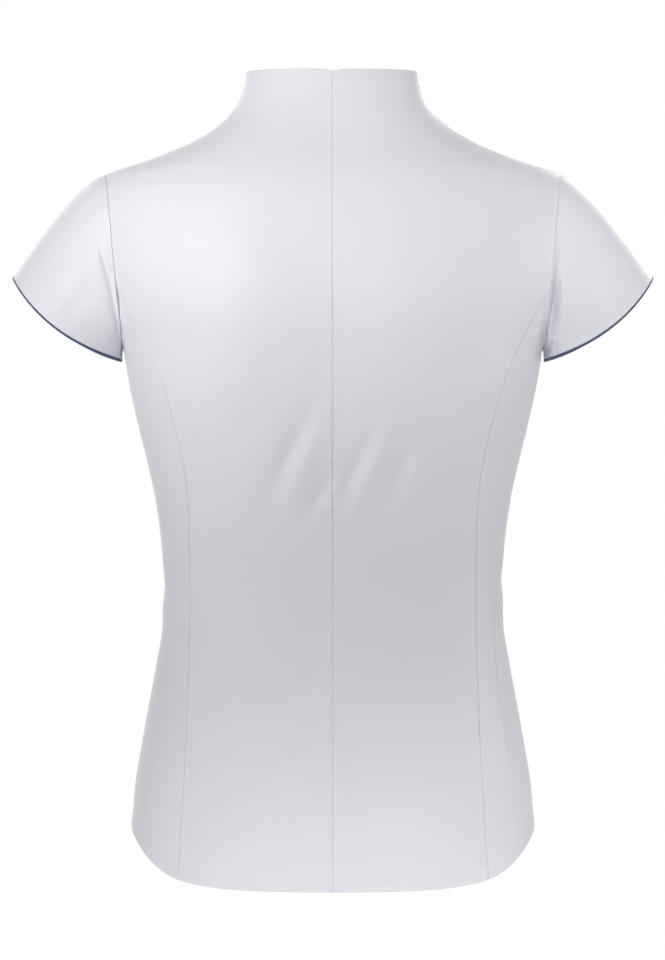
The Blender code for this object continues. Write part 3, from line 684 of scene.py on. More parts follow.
def lengths(points, axis):
    """Distance along a grid of points from its first row or column."""
    step = np.linalg.norm(np.diff(points, axis=axis), axis=-1)
    zero = np.zeros_like(np.take(step, [0], axis=axis))
    return np.concatenate([zero, np.cumsum(step, axis=axis)], axis=axis)


def fine_grid(left, right, bottom, top, up, columns):
    """A grid that fills four edges, with its columns close together at both seams."""
    even = np.broadcast_to(np.linspace(0, 1, MEASURING_COLUMNS), (len(up), MEASURING_COLUMNS))
    coarse = coons(left, right, bottom, top, even, up)
    width = lengths(form(coarse[..., 0], coarse[..., 1], 1), 1)[:, -1]
    near = np.array(EDGE_STEPS)[None, :] / width[:, None]
    middle = np.linspace(0, 1, columns + 1)[None, 1:-1]
    inner = near[:, -1:] + (1 - 2 * near[:, -1:]) * middle
    across = np.hstack([near, inner, 1 - near[:, ::-1]])
    return coons(left, right, bottom, top, across, up)


def low_rows(foot, high, pitch):
    """Rows from the hem up to, but without, high. They lie close together in the turned-up hem."""
    low = foot + HEM_STEPS[-1]
    count = max(1, int(round(abs(high - low) / pitch)))
    return np.concatenate([foot + np.array(HEM_STEPS)[:-1], low + (high - low) * np.arange(count) / count])


def collar_rows(count):
    """Rows from the shoulder's tip to the collar's top edge."""
    high = COLLAR_TOP - TOP_STEPS[0]
    share = (np.linspace(0, 1, count) ** COLLAR_CROWDING)[:-1]
    return np.concatenate([SHOULDER_TIP + (high - SHOULDER_TIP) * share, COLLAR_TOP - np.array(TOP_STEPS)])


def outer_edge(heights, low, seam_turn, behind):
    """The turns of a panel's edge: its seam up to low, then the armhole and the shoulder seam. Also
    which rows end at the armhole."""
    turn = np.where(heights < low, seam_turn(heights), armhole_turn(heights, behind))
    at_armhole = (heights > low - ARMHOLE_MARGIN) & (heights < SHOULDER_TIP + ARMHOLE_MARGIN)
    return np.where(heights > SHOULDER_TIP, math.pi / 2, turn), at_armhole


def end_edge(left, right, row, height_at):
    """An edge between the ends of a row, at the height that each turn has."""
    def edge(share):
        turn = left[row, 0] + (right[row, 0] - left[row, 0]) * share
        return pairs(turn, height_at(turn))

    return edge


def back_grid():
    """Centre back seam to princess seam, armhole and shoulder seam, from the hem to the collar's top."""
    foot = seam_foot(princess_turn)
    turned = np.sin(np.linspace(0, math.pi / 2, BACK_ARMHOLE_ROWS))[:-1]
    heights = np.concatenate([
        low_rows(foot, PRINCESS_TOP, FINE_PITCH),
        PRINCESS_TOP + (SHOULDER_TIP - PRINCESS_TOP) * turned,
        collar_rows(BACK_COLLAR_ROWS),
    ])
    turn, at_armhole = outer_edge(heights, PRINCESS_TOP, princess_turn, True)
    right = pairs(turn - gap_turn(turn, heights), heights)
    up = (heights - foot) / (COLLAR_TOP - foot)
    low, high = float(hem_height(0.0)), float(collar_top(0.0))
    centre = low + (high - low) * up
    left = pairs(gap_turn(0 * centre, centre), centre)
    bottom, top = end_edge(left, right, 0, hem_height), end_edge(left, right, -1, collar_top)
    return fine_grid(left, right, bottom, top, up, BACK_COLUMNS), at_armhole


def back_side_grid():
    """Princess seam to side seam, from the hem to the lower back of the armhole."""
    foot, side_foot = seam_foot(princess_turn), seam_foot(side_turn)
    top = np.array(SIDE_TOP_STEPS)
    heights = np.concatenate([low_rows(foot, PRINCESS_TOP - top[0], FINE_PITCH), PRINCESS_TOP - top])
    up = (heights - foot) / (PRINCESS_TOP - foot)
    turn = princess_turn(heights)
    left = pairs(turn + gap_turn(turn, heights), heights)
    side_heights = side_foot + (UNDERARM - side_foot) * up
    turn = side_turn(side_heights)
    right = pairs(turn - gap_turn(turn, side_heights), side_heights)

    def armhole(share):
        height = PRINCESS_TOP + (UNDERARM - PRINCESS_TOP) * np.sin(math.pi / 2 * share)
        turn = armhole_turn(height, True)
        return pairs(turn + gap_turn(turn, height) * (1 - 2 * share), height)

    bottom = end_edge(left, right, 0, hem_height)
    return fine_grid(left, right, bottom, armhole, up, SIDE_COLUMNS), None


def front_grid():
    """Side seam, armhole and shoulder seam to the front edge, from the hem to the neck edge."""
    foot = seam_foot(side_turn)
    turned = (1 - np.cos(np.linspace(0, math.pi, FRONT_ARMHOLE_ROWS)))[:-1] / 2
    heights = np.concatenate([
        low_rows(foot, UNDERARM, PITCH),
        UNDERARM + (SHOULDER_TIP - UNDERARM) * turned,
        collar_rows(FRONT_COLLAR_ROWS),
    ])
    turn, at_armhole = outer_edge(heights, UNDERARM, side_turn, False)
    left = pairs(turn + gap_turn(turn, heights), heights)
    up = (heights - foot) / (COLLAR_TOP - foot)
    low, high = float(hem_height(math.pi)), NECKLINE[-1].height
    edge = low + (high - low) * up
    right = pairs(front_edge_turn(edge), edge)

    def neck_edge(share):
        height = COLLAR_TOP + (high - COLLAR_TOP) * share**NECK_CROWDING
        turn = turn_before(neckline_at(height)[0], height)
        return pairs(turn + gap_turn(turn, height) * (1 - share), height)

    bottom = end_edge(left, right, 0, hem_height)
    return fine_grid(left, right, bottom, neck_edge, up, FRONT_COLUMNS), at_armhole


def quarter_round(distance, width):
    """1 at an edge, falling to 0 at a distance, as a rounded edge does."""
    t = np.clip(1 - distance / width, 0, 1)
    return 1 - np.sqrt(1 - t**2)


def armhole_edge(distance, side):
    """The ridge that the seam allowances make beside the armhole, and the trough beside it."""
    edge = ARMHOLE_EDGES[side]
    ridge = edge.ridge * np.exp(-(((distance - edge.place) / edge.width) ** 2))
    trough = ARMHOLE_TROUGH * np.exp(-(((distance - TROUGH_PLACE) / TROUGH_WIDTH) ** 2))
    return ridge - trough


def panel_walls(grid, side, kinds, at_armhole, drop=None):
    """Outer and inner points of a panel's cloth, and how far along the cloth each is. kinds says whether
    its left, right, bottom and top edges are free, an armhole, or a seam that the cloth rolls into
    loosely or tightly. A loose armhole has a loose seam below it. at_armhole marks the rows that end at
    an armhole, or is None where the armhole is a whole edge."""
    turn, height = grid[..., 0], grid[..., 1]
    surface, normal = dressed(turn, height, side, drop)
    across, up = lengths(surface, 1), lengths(surface, 0)
    distances = across, across[:, -1:] - across, up, up[-1:] - up
    wall = WALL + (COLLAR_WALL - WALL) * ease(COLLAR_FROM, COLLAR_FULL, height)
    rolled_out, rolled_in, raised = np.zeros_like(wall), np.zeros_like(wall), np.zeros_like(wall)
    for kind, distance in zip(kinds, distances):
        if kind == "free":
            roll = EDGE_ROLL_SHARE * wall * quarter_round(distance, wall * EDGE_ROLL_WIDTH)
            rolled_out = np.maximum(rolled_out, roll)
            rolled_in = np.maximum(rolled_in, roll)
            continue
        shown = np.zeros_like(wall)
        if kind.endswith("armhole"):
            shown = shown + (1.0 if at_armhole is None else fade(at_armhole)[:, None])
            raised += armhole_edge(distance, side) * shown * ease(0.0, RIDGE_FADE, SHOULDER_TIP - height)
        loose = kind.startswith("loose")
        deep, wide = (SEAM_ROLL, SEAM_ROLL_WIDTH) if loose else (TIGHT_ROLL, TIGHT_ROLL_WIDTH)
        roll = deep * quarter_round(distance, wide) * (1 - shown)
        roll += TIGHT_ROLL * quarter_round(distance, TIGHT_ROLL_WIDTH) * shown
        rolled_out = np.maximum(rolled_out, roll)
        raised += SEAM_PRESS * np.exp(-(((distance - PRESS_PLACE) / PRESS_WIDTH) ** 2)) * (1 - shown)
    outer = surface + normal * (raised - rolled_out)[..., None]
    inner = surface + normal * (raised - wall + rolled_in)[..., None]
    return outer, inner, np.stack([across, up], axis=-1)


def fade(rows):
    """1 on the marked rows, falling off over their neighbours."""
    soft = rows.astype(float)
    return np.convolve(np.pad(soft, len(FADE_KERNEL) // 2, mode="edge"), FADE_KERNEL, mode="valid")


# ---------------------------------------------------------------- meshes


def make_mesh(name, points, faces, uv=None, period=None):
    """An object from points and four-sided faces. uv is given a point, and comes round after a period."""
    mesh = bpy.data.meshes.new(name)
    mesh.vertices.add(len(points))
    mesh.vertices.foreach_set("co", np.asarray(points, np.float32).ravel())
    faces = np.asarray(faces, np.int32)
    count, sides = faces.shape
    mesh.loops.add(count * sides)
    mesh.loops.foreach_set("vertex_index", faces.ravel())
    mesh.polygons.add(count)
    mesh.polygons.foreach_set("loop_start", np.arange(count, dtype=np.int32) * sides)
    mesh.update(calc_edges=True)
    mesh.validate()
    if uv is not None:
        layer = mesh.uv_layers.new(name="cloth")
        corners = np.asarray(uv, np.float32)[faces]
        if period is not None:
            u = corners[..., 0]
            u[(u.max(axis=1, keepdims=True) - u) > period / 2] += period
        layer.data.foreach_set("uv", corners.ravel())
    mesh.shade_smooth()
    thing = bpy.data.objects.new(name, mesh)
    bpy.context.scene.collection.objects.link(thing)
    return thing


def quads(rows, columns, closed, at=0):
    across = columns if closed else columns - 1
    r, c = np.meshgrid(np.arange(rows - 1), np.arange(across), indexing="ij")
    here = at + r * columns + c
    there = at + r * columns + (c + 1) % columns
    return np.stack([here, there, there + columns, here + columns], axis=-1).reshape(-1, 4)


def rim_quads(rows, columns, closed):
    count = rows * columns
    last = (rows - 1) * columns
    if closed:
        ring = np.arange(columns + 1) % columns
        chains = [ring, last + ring[::-1]]
    else:
        bottom = np.arange(columns)
        right = np.arange(1, rows) * columns + columns - 1
        top = last + np.arange(columns - 2, -1, -1)
        left = np.arange(rows - 2, -1, -1) * columns
        chains = [np.concatenate([bottom, right, top, left])]
    faces = [np.stack([c[1:], c[:-1], c[:-1] + count, c[1:] + count], axis=-1) for c in chains]
    return np.concatenate(faces)


def shell(name, outer, inner, cloth_uv, side, closed=False, period=None):
    """A closed thin shell between two grids of points, facing outwards."""
    rows, columns = outer.shape[:2]
    count = rows * columns
    faces = np.concatenate([
        quads(rows, columns, closed),
        quads(rows, columns, closed, count)[:, ::-1],
        rim_quads(rows, columns, closed),
    ])
    if side > 0:
        faces = faces[:, ::-1]
    points = np.concatenate([outer.reshape(-1, 3), inner.reshape(-1, 3)])
    uv = np.concatenate([cloth_uv.reshape(-1, 2)] * 2)
    return make_mesh(name, points, faces, uv, period)


# ---------------------------------------------------------------- sleeves and piping

# Finer creases of each sleeve: place round the arm (0 over it, 90 behind, 180 under) and along it
# (share from the armhole to the open end), spread each way, slant, rise.
SLEEVE_FOLDS = table(
    "side round share spread_round spread_share slant rise",
    (-1, 122, 0.075, 20, 0.050, 0.0, -0.0034),
    (-1, 138, 0.260, 12, 0.060, 0.010, 0.0014),
    (-1, 146, 0.100, 10, 0.110, 0.012, -0.0022),
    (-1, 95, 0.520, 30, 0.160, 0.004, -0.0008),
    (1, 98, 0.100, 22, 0.060, 0.004, -0.0012),
    (1, 140, 0.180, 14, 0.140, 0.0, -0.0012),
    (1, 80, 0.560, 28, 0.170, -0.003, -0.0006),
    (-1, 240, 0.090, 22, 0.060, 0.0, -0.0024),
    (-1, 262, 0.330, 24, 0.100, -0.004, 0.0010),
    (1, 236, 0.085, 20, 0.055, 0.0, -0.0026),
    (1, 268, 0.360, 26, 0.110, 0.003, 0.0010),
)
# Creases on the back of each sleeve, as seen from behind: side, distance from the centre line, height,
# half length, half width towards the body and away from it, the way it runs, rise.
SLEEVE_CREASES = table(
    "side x height half_length near far run_x run_z rise",
    (-1, 0.1868, -0.1135, 0.0220, 0.0046, 0.0010, 0.03, 1.00, -0.0105),
    (-1, 0.1845, -0.1378, 0.0100, 0.0024, 0.0024, 0.57, -0.82, 0.0026),
    (-1, 0.1785, -0.1480, 0.0095, 0.0050, 0.0026, 0.30, 0.95, -0.0055),
    (-1, 0.2080, -0.1040, 0.0300, 0.0090, 0.0090, 0.45, -0.89, -0.0012),
    (1, 0.1885, -0.0800, 0.0170, 0.0030, 0.0016, 0.25, 0.97, -0.0016),
    (1, 0.1765, -0.1470, 0.0090, 0.0050, 0.0040, 0.35, 0.94, -0.0016),
    (1, 0.2150, -0.1120, 0.0260, 0.0080, 0.0090, 0.60, -0.80, -0.0010),
)
SLEEVE_COLUMNS = 176
SLEEVE_HEM_BAND, SLEEVE_HEM_EASE, SLEEVE_HEM_PROUD = 0.0030, 0.0012, 0.00022
SLEEVE_END_ROLL, SLEEVE_END_WIDTH = 0.0003, 0.0006
START_RIPPLE, END_RIPPLE = 0.6, 0.4
SLEEVE_SETTLE = 0.004    # from the armhole, over which the sleeve's relief fades in
CREASE_FROM, CREASE_FULL = 0.002, 0.014    # behind the arm's middle
# Rows along the sleeve, as shares: near the armhole, where its creases are, evenly beyond them, and near
# the open end.
SLEEVE_START_SHARES = (0.0, 0.002, 0.005, 0.010, 0.016, 0.024)
SLEEVE_FINE_FROM, SLEEVE_FINE_TO, SLEEVE_FINE_STEP = 0.034, 0.40, 0.0061
SLEEVE_LAST, SLEEVE_EVEN_ROWS = 0.960, 30
SLEEVE_END_SHARES = (0.030, 0.024, 0.018, 0.013, 0.009, 0.006, 0.003, 0.0012, 0.0)
PIPING_ROUND = 14        # points round the piping's section
PIPING_SQUARE = 0.62     # 1 is round, less is squarer
PIPING_GAP = 0.00005
PIPING_TALL_OVER, PIPING_TALL_UNDER = 0.0012, 0.0023


def sleeve_fold_rise(round_angle, share, side):
    total = np.zeros_like(round_angle)
    degrees = np.degrees(round_angle)
    for fold in SLEEVE_FOLDS:
        if fold.side == side:
            place = fold.share + fold.slant * (degrees - fold.round)
            bell = np.exp(
                -(((degrees - fold.round) / fold.spread_round) ** 2)
                - ((share - place) / fold.spread_share) ** 2
            )
            total += fold.rise * bell
    return total


def sleeve_creases(points, side):
    x, y, z = points[..., 0], points[..., 1], points[..., 2]
    total = np.zeros_like(x)
    for crease in SLEEVE_CREASES:
        if crease.side == side:
            run = np.array((crease.run_x, crease.run_z)) / math.hypot(crease.run_x, crease.run_z)
            outwards = run if run[1] > 0 else -run
            long = (x - crease.x) * run[0] + (z - crease.height) * run[1]
            wide = (x - crease.x) * outwards[1] - (z - crease.height) * outwards[0]
            half_width = np.where(wide < 0, crease.near, crease.far)
            total += crease.rise * np.exp(-((long / crease.half_length) ** 2) - (wide / half_width) ** 2)
    return total * ease(CREASE_FROM, CREASE_FULL, y)


def sleeve_shares():
    return np.concatenate([
        SLEEVE_START_SHARES,
        np.arange(SLEEVE_FINE_FROM, SLEEVE_FINE_TO, SLEEVE_FINE_STEP),
        np.linspace(SLEEVE_FINE_TO, SLEEVE_LAST, SLEEVE_EVEN_ROWS),
        1 - np.array(SLEEVE_END_SHARES),
    ])


def sleeve_walls(side):
    """Outer and inner points of a sleeve as the left one, its cloth coordinates, and its open end's
    points and normals."""
    angle = np.linspace(0, 2 * math.pi, SLEEVE_COLUMNS, endpoint=False)
    share, around = np.broadcast_arrays(sleeve_shares()[:, None], angle[None, :])
    plain = sleeve_surface(around, share)
    rise = sleeve_fold_rise(around, share, side) - CREASE_SHARE[side] * sleeve_crease(around, share)
    along = lengths(plain, 0)
    to_end = along[-1:] - along
    rise = rise + START_RIPPLE * ripple(along, around * 0.05 + side)
    rise = rise + END_RIPPLE * ripple(to_end, around * 0.06)
    rise = rise + SLEEVE_HEM_PROUD * (1 - ease(SLEEVE_HEM_BAND, SLEEVE_HEM_BAND + SLEEVE_HEM_EASE, to_end))
    settled = ease(0.0, SLEEVE_SETTLE, along)
    surface = plain + grid_normals(plain) * (rise * settled)[..., None]
    normal = grid_normals(surface)
    normal[0, :, 0] = np.minimum(normal[0, :, 0], 0.0)
    normal[0] /= np.linalg.norm(normal[0], axis=-1, keepdims=True)
    surface[..., 1] += sleeve_creases(plain, side) * settled
    roll = ARMHOLE_EDGES[side].roll * quarter_round(along, SEAM_ROLL_WIDTH)
    roll = roll + SLEEVE_END_ROLL * quarter_round(to_end, SLEEVE_END_WIDTH)
    outer = surface - normal * roll[..., None]
    inner = surface - normal * SLEEVE_WALL
    cloth_uv = np.stack([around * SLEEVE_GIRTH / (2 * math.pi), along], axis=-1)
    return outer, inner, cloth_uv, surface[-1], normal[-1]


def add_sleeve(side, side_name):
    outer, inner, cloth_uv, end, normal = sleeve_walls(side)
    sleeve = shell(
        f"cloth_sleeve_{side_name}", mirrored(outer, side), mirrored(inner, side), cloth_uv, side,
        closed=True, period=SLEEVE_GIRTH,
    )
    angle = np.linspace(0, 2 * math.pi, SLEEVE_COLUMNS, endpoint=False)
    way = arrival(angle)
    section = np.linspace(0, 2 * math.pi, PIPING_ROUND, endpoint=False)
    thick = SLEEVE_WALL / 2 + PIPING_PROUD
    tall = mix_under(PIPING_TALL_OVER, PIPING_TALL_UNDER, angle) / 2
    beside = np.sign(np.cos(section)) * np.abs(np.cos(section)) ** PIPING_SQUARE * thick
    ahead = np.sign(np.sin(section)) * np.abs(np.sin(section)) ** PIPING_SQUARE
    ahead = (ahead[:, None] + 1) * tall[None, :] + PIPING_GAP
    points = (
        end[None] + normal[None] * (beside - SLEEVE_WALL / 2)[:, None, None] + way[None] * ahead[..., None]
    )
    uv = np.stack(np.broadcast_arrays(angle[None, :] * SLEEVE_GIRTH / (2 * math.pi), ahead), axis=-1)
    faces = quads(PIPING_ROUND + 1, SLEEVE_COLUMNS, True) % (PIPING_ROUND * SLEEVE_COLUMNS)
    if side > 0:
        faces = faces[:, ::-1]
    piping = make_mesh(
        f"piping_{side_name}", mirrored(points, side).reshape(-1, 3), faces, uv.reshape(-1, 2), SLEEVE_GIRTH
    )
    return sleeve, piping


# ---------------------------------------------------------------- threads, darts and buttons

THREAD_WIDTH, THREAD_HEIGHT = 0.00038, 0.00030
THREAD_RINGS, THREAD_SIDES = 6, 6        # the end faces below are for six sides
THREAD_ARCH = 0.3                        # of its height
THREAD_BLUNT, THREAD_TIP = 3.5, 0.03     # how late it tapers, and the square of its tip's share
STITCH_PITCH, STITCH_LENGTH = 0.0030, 0.0023
HEM_PATH_FROM, HEM_PATH_PAST, HEM_PATH_POINTS = 0.002, 0.11, 900    # turns, the second past the front


def threads(name, start, end, up, width=THREAD_WIDTH, height=THREAD_HEIGHT, arch=THREAD_ARCH):
    """Short tapered threads from each start to each end, arched a little along up."""
    rings, sides = THREAD_RINGS, THREAD_SIDES
    t = np.linspace(0, 1, rings)
    lift = arch * height * np.sin(math.pi * t)
    middle = (
        start[:, None] + (end - start)[:, None] * t[None, :, None] + up[:, None] * lift[None, :, None]
    )
    ahead = (end - start) / np.linalg.norm(end - start, axis=-1, keepdims=True)
    beside = np.cross(ahead, up)
    taper = np.clip(1 - np.abs(2 * t - 1) ** THREAD_BLUNT, THREAD_TIP, 1) ** 0.5
    angle = np.linspace(0, 2 * math.pi, sides, endpoint=False)
    ring = (
        beside[:, None, None] * np.cos(angle)[None, None, :, None] * width / 2
        + up[:, None, None] * np.sin(angle)[None, None, :, None] * height / 2
    ) * taper[None, :, None, None]
    points = middle[:, :, None] + ring
    one = np.concatenate([
        quads(rings, sides, True),
        np.array([[3, 2, 1, 0], [5, 4, 3, 0]]),
        np.array([[0, 1, 2, 3], [0, 3, 4, 5]]) + (rings - 1) * sides,
    ])
    faces = (one[None] + (np.arange(len(start)) * rings * sides)[:, None, None]).reshape(-1, 4)
    return make_mesh(name, points.reshape(-1, 3), faces)


def stitch_row(name, path, normal):
    """A row of stitches along a path on the cloth."""
    along = lengths(path, 0)
    begin = np.arange(STITCH_PITCH / 2, along[-1] - STITCH_LENGTH, STITCH_PITCH)

    def read(table, place):
        return np.stack([np.interp(place, along, table[:, k]) for k in range(3)], axis=-1)

    up = read(normal, begin + STITCH_LENGTH / 2)
    up /= np.linalg.norm(up, axis=-1, keepdims=True)
    return threads(name, read(path, begin), read(path, begin + STITCH_LENGTH), up)


def hem_stitches():
    """One row round the whole hem, as two halves that meet at the centre back."""
    rows = []
    for side, side_name in SIDES:
        turn = np.linspace(HEM_PATH_FROM, math.pi + HEM_PATH_PAST, HEM_PATH_POINTS)
        edge = hem_height(turn)
        height = edge + (HEM_DEPTH - HEM_STITCH) * np.sqrt(1 + hem_slope(turn, edge) ** 2)
        path, normal = dressed(turn, height, side, lap_drop if side > 0 else None)
        rows.append(stitch_row(f"stitches_hem_{side_name}", path, normal))
    return rows


# Darts of each front, drawn by their seams: height, distance from the centre front, how proud.
WAIST_DART = table(
    "height reach proud",
    (-0.212, 0.0800, 0.0),
    (-0.245, 0.0785, 0.7),
    (-0.300, 0.0770, 1.0),
    (-0.360, 0.0775, 1.0),
    (-0.420, 0.0800, 0.9),
    (-0.490, 0.0840, 0.0),
)
BUST_DART = table(
    "height reach proud",
    (-0.2180, 0.1625, 1.0),
    (-0.2100, 0.1480, 1.0),
    (-0.2000, 0.1330, 0.9),
    (-0.1900, 0.1180, 0.6),
    (-0.1820, 0.1060, 0.0),
)
# Section of a dart's pressed seam: across, rise.
DART_SECTION = table(
    "across rise",
    (-0.0024, -0.00025),
    (-0.0015, 0.00012),
    (-0.0007, 0.00034),
    (-0.00022, 0.00026),
    (0.0, 0.00004),
    (0.00022, 0.00026),
    (0.0007, 0.00034),
    (0.0015, 0.00012),
    (0.0024, -0.00025),
)
DART_NARROW = 0.35       # how wide a dart's seam still is at its tip
DART_SINK = 0.00030      # how far its tip sinks into the cloth
DART_ROOT = 0.0006       # how deep its underside lies in the cloth
DART_CLOTH = 0.25        # cloth along a dart, for its weave
DART_ROWS = 160
DART_UNDER = 0.6         # how wide its underside is, as a share


def dart(name, rows, side):
    """The pressed seam of a dart, on the front's cloth."""
    order = sorted(rows, key=lambda row: row.height)
    read = smooth_table(order)
    height = np.linspace(order[0].height, order[-1].height, DART_ROWS)
    reach, proud = read(height)
    turn = turn_before(reach, height)
    path, normal = dressed(turn, height, side, lap_drop if side > 0 else None)
    ahead = np.gradient(path, axis=0)
    ahead /= np.linalg.norm(ahead, axis=-1, keepdims=True)
    beside = np.cross(normal, ahead)
    section = np.array(DART_SECTION)
    scale = np.sqrt(np.clip(proud, 0, 1))[:, None, None]
    rise = section[None, :, 1, None] * scale - DART_SINK * (1 - scale)
    spread = DART_NARROW + (1 - DART_NARROW) * scale
    points = path[:, None] + beside[:, None] * section[None, :, 0, None] * spread
    points = points + normal[:, None] * rise
    under = path[:, None] + (points - path[:, None]) * DART_UNDER - normal[:, None] * DART_ROOT
    along = np.linspace(0, DART_CLOTH, len(points))
    uv = np.stack(np.broadcast_arrays(section[None, :, 0], along[:, None]), axis=-1)
    return shell(name, points, under, uv, 1)


BUTTON_SEAT = 0.0006                     # from the cloth to the button's underside
BUTTON_FACE = BUTTON_THICKNESS * 0.74    # height of its face inside the rim
RIM_INSET, RIM_RISE, RIM_WIDTH = 0.0009, 0.00055, 0.00062
RIM_FROM = BUTTON_RADIUS - 0.0019        # the face's columns end here, and the rim's finer ones start
EDGE_ROUND, EDGE_DROP = 0.0006, 0.0012
HOLE_ASIDE, HOLE_RADIUS, HOLE_DEPTH = 0.001155, 0.00062, 0.0013
HOLE_FLOOR, HOLE_LIP = 0.75, 1.15        # shares of its radius between which its wall rises
BUTTON_CORE, BUTTON_COLUMNS = 0.00012, 80
BUTTON_THREAD, BUTTON_THREAD_ARCH = 0.0003, 1.6
THREAD_SEAT, THREAD_PAST, THREAD_SHIFT = 0.00025, 0.0002, 0.0002
BUTTONHOLE_HALF, BUTTONHOLE_PITCH = 0.0078, 0.00042
SATIN_NEAR, SATIN_FAR = 0.00022, 0.00135
SATIN_WIDTH, SATIN_HEIGHT = 0.00040, 0.00034
SATIN_NEAR_LIFT, SATIN_FAR_LIFT, BAR_LIFT = 0.00012, 0.00004, 0.00010
BAR_PAST, BAR_PITCH, BAR_STITCHES = 0.0002, 0.0003, 4


def button_place(height):
    turn = np.array(math.pi)
    centre, normal = dressed(turn, np.array(height), -1)
    up = np.array([0.0, 0.0, 1.0]) - normal * normal[2]
    up /= np.linalg.norm(up)
    return centre, normal, up, np.cross(up, normal)


def add_button(number, height):
    """A round button with a raised rim and four holes, and the two runs of thread that hold it."""
    centre, normal, up, beside = button_place(height)
    centre = centre + normal * BUTTON_SEAT
    reach = np.concatenate([
        np.linspace(BUTTON_CORE, RIM_FROM, 22),
        np.linspace(RIM_FROM + 0.0002, BUTTON_RADIUS, 10),
    ])
    around = np.linspace(0, 2 * math.pi, BUTTON_COLUMNS, endpoint=False)
    r, a = np.meshgrid(reach, around, indexing="ij")
    x, z = r * np.cos(a), r * np.sin(a)
    rise = BUTTON_FACE + RIM_RISE * np.exp(-(((r - BUTTON_RADIUS + RIM_INSET) / RIM_WIDTH) ** 2))
    rise = rise - EDGE_DROP * np.clip((r - BUTTON_RADIUS + EDGE_ROUND) / EDGE_ROUND, 0, 1) ** 2
    for hole_x, hole_z in ((-1, -1), (-1, 1), (1, -1), (1, 1)):
        away = np.hypot(x - hole_x * HOLE_ASIDE, z - hole_z * HOLE_ASIDE)
        rise = rise - HOLE_DEPTH * (1 - ease(HOLE_RADIUS * HOLE_FLOOR, HOLE_RADIUS * HOLE_LIP, away))
    top = centre + beside * x[..., None] + up * z[..., None] + normal * rise[..., None]
    outline = beside * np.cos(around)[:, None] + up * np.sin(around)[:, None]
    low = centre + outline * (BUTTON_RADIUS - EDGE_ROUND)
    rows, columns = len(reach) + 1, len(around)
    points = np.concatenate([top.reshape(-1, 3), low, centre[None] + normal * rise[0].mean(), centre[None]])
    first, last, edge = rows * columns, rows * columns + 1, (rows - 1) * columns
    ring = np.arange(0, columns, 2)
    nearer, further = (ring + 1) % columns, (ring + 2) % columns
    faces = np.concatenate([
        quads(rows, columns, True),
        np.stack([0 * ring + first, further, nearer, ring], axis=-1),
        np.stack([0 * ring + last, edge + ring, edge + nearer, edge + further], axis=-1),
    ])
    button = make_mesh(f"button_{number}_disc", points, faces[:, ::-1])
    half = up * (HOLE_ASIDE + THREAD_PAST)
    middles = np.array([
        centre + beside * (hole_x * HOLE_ASIDE + shift) + normal * (BUTTON_FACE - THREAD_SEAT)
        for hole_x in (-1, 1) for shift in (-THREAD_SHIFT, 0.0, THREAD_SHIFT)
    ])
    facing = np.repeat(normal[None], len(middles), axis=0)
    sewn = threads(
        f"button_{number}_thread", middles - half, middles + half, facing,
        BUTTON_THREAD, BUTTON_THREAD, BUTTON_THREAD_ARCH,
    )
    return button, sewn


def add_buttonhole(number, height):
    """The satin stitches along both sides of the slit that the button passes through, and a bar at each
    end. Each row of stitches has its two reaches, its heights and how far its ends stand out."""
    count = int(2 * BUTTONHOLE_HALF / BUTTONHOLE_PITCH) + 1
    slit = height - BUTTONHOLE_HALF + BUTTONHOLE_PITCH * np.arange(count)
    bar = BUTTONHOLE_HALF + BAR_PAST + BAR_PITCH * np.arange(BAR_STITCHES)
    rows = [(way * SATIN_NEAR, way * SATIN_FAR, slit, SATIN_NEAR_LIFT, SATIN_FAR_LIFT) for way in (-1, 1)]
    rows += [(-SATIN_FAR, SATIN_FAR, height + end * bar, BAR_LIFT, BAR_LIFT) for end in (-1, 1)]
    starts, ends, facing = [], [], []
    for near, far, heights, start_lift, end_lift in rows:
        start, normal = dressed(turn_before(near + 0 * heights, heights), heights, -1)
        end, _ = dressed(turn_before(far + 0 * heights, heights), heights, -1)
        starts.append(start + normal * start_lift)
        ends.append(end + normal * end_lift)
        facing.append(normal)
    starts, ends, facing = np.concatenate(starts), np.concatenate(ends), np.concatenate(facing)
    return threads(f"buttonhole_{number}", starts, ends, facing, SATIN_WIDTH, SATIN_HEIGHT)


# ---------------------------------------------------------------- materials

CLOTH_TINT, CLOTH_SHADE = (0.855, 0.860, 0.910), (0.800, 0.808, 0.870)
# the piping's darker colour: random tone of its slubs, and painted shade in the low parts of its weave
PIPING_TINT, PIPING_SLUB_AND_GROOVE_SHADE = (0.085, 0.125, 0.255), (0.040, 0.062, 0.150)
# the thread's second colour is painted shade in the grooves of its twist
THREAD_TINT, THREAD_GROOVE_SHADE = (0.86, 0.865, 0.895), (0.74, 0.75, 0.79)
BUTTON_TINT, BUTTON_SHADE = (0.88, 0.88, 0.90), (0.82, 0.82, 0.85)
FLOOR_TINT, FLOOR_SHADE = (0.90, 0.90, 0.91), (0.88, 0.88, 0.89)
YARN = 0.00042           # from one yarn to the next
TWILL = 0.00118          # from one diagonal line of the satin to the next
CORD_TWILL = 0.00070     # the same on the piping
THREAD_TWIST = 0.00045   # length of one twist of the thread


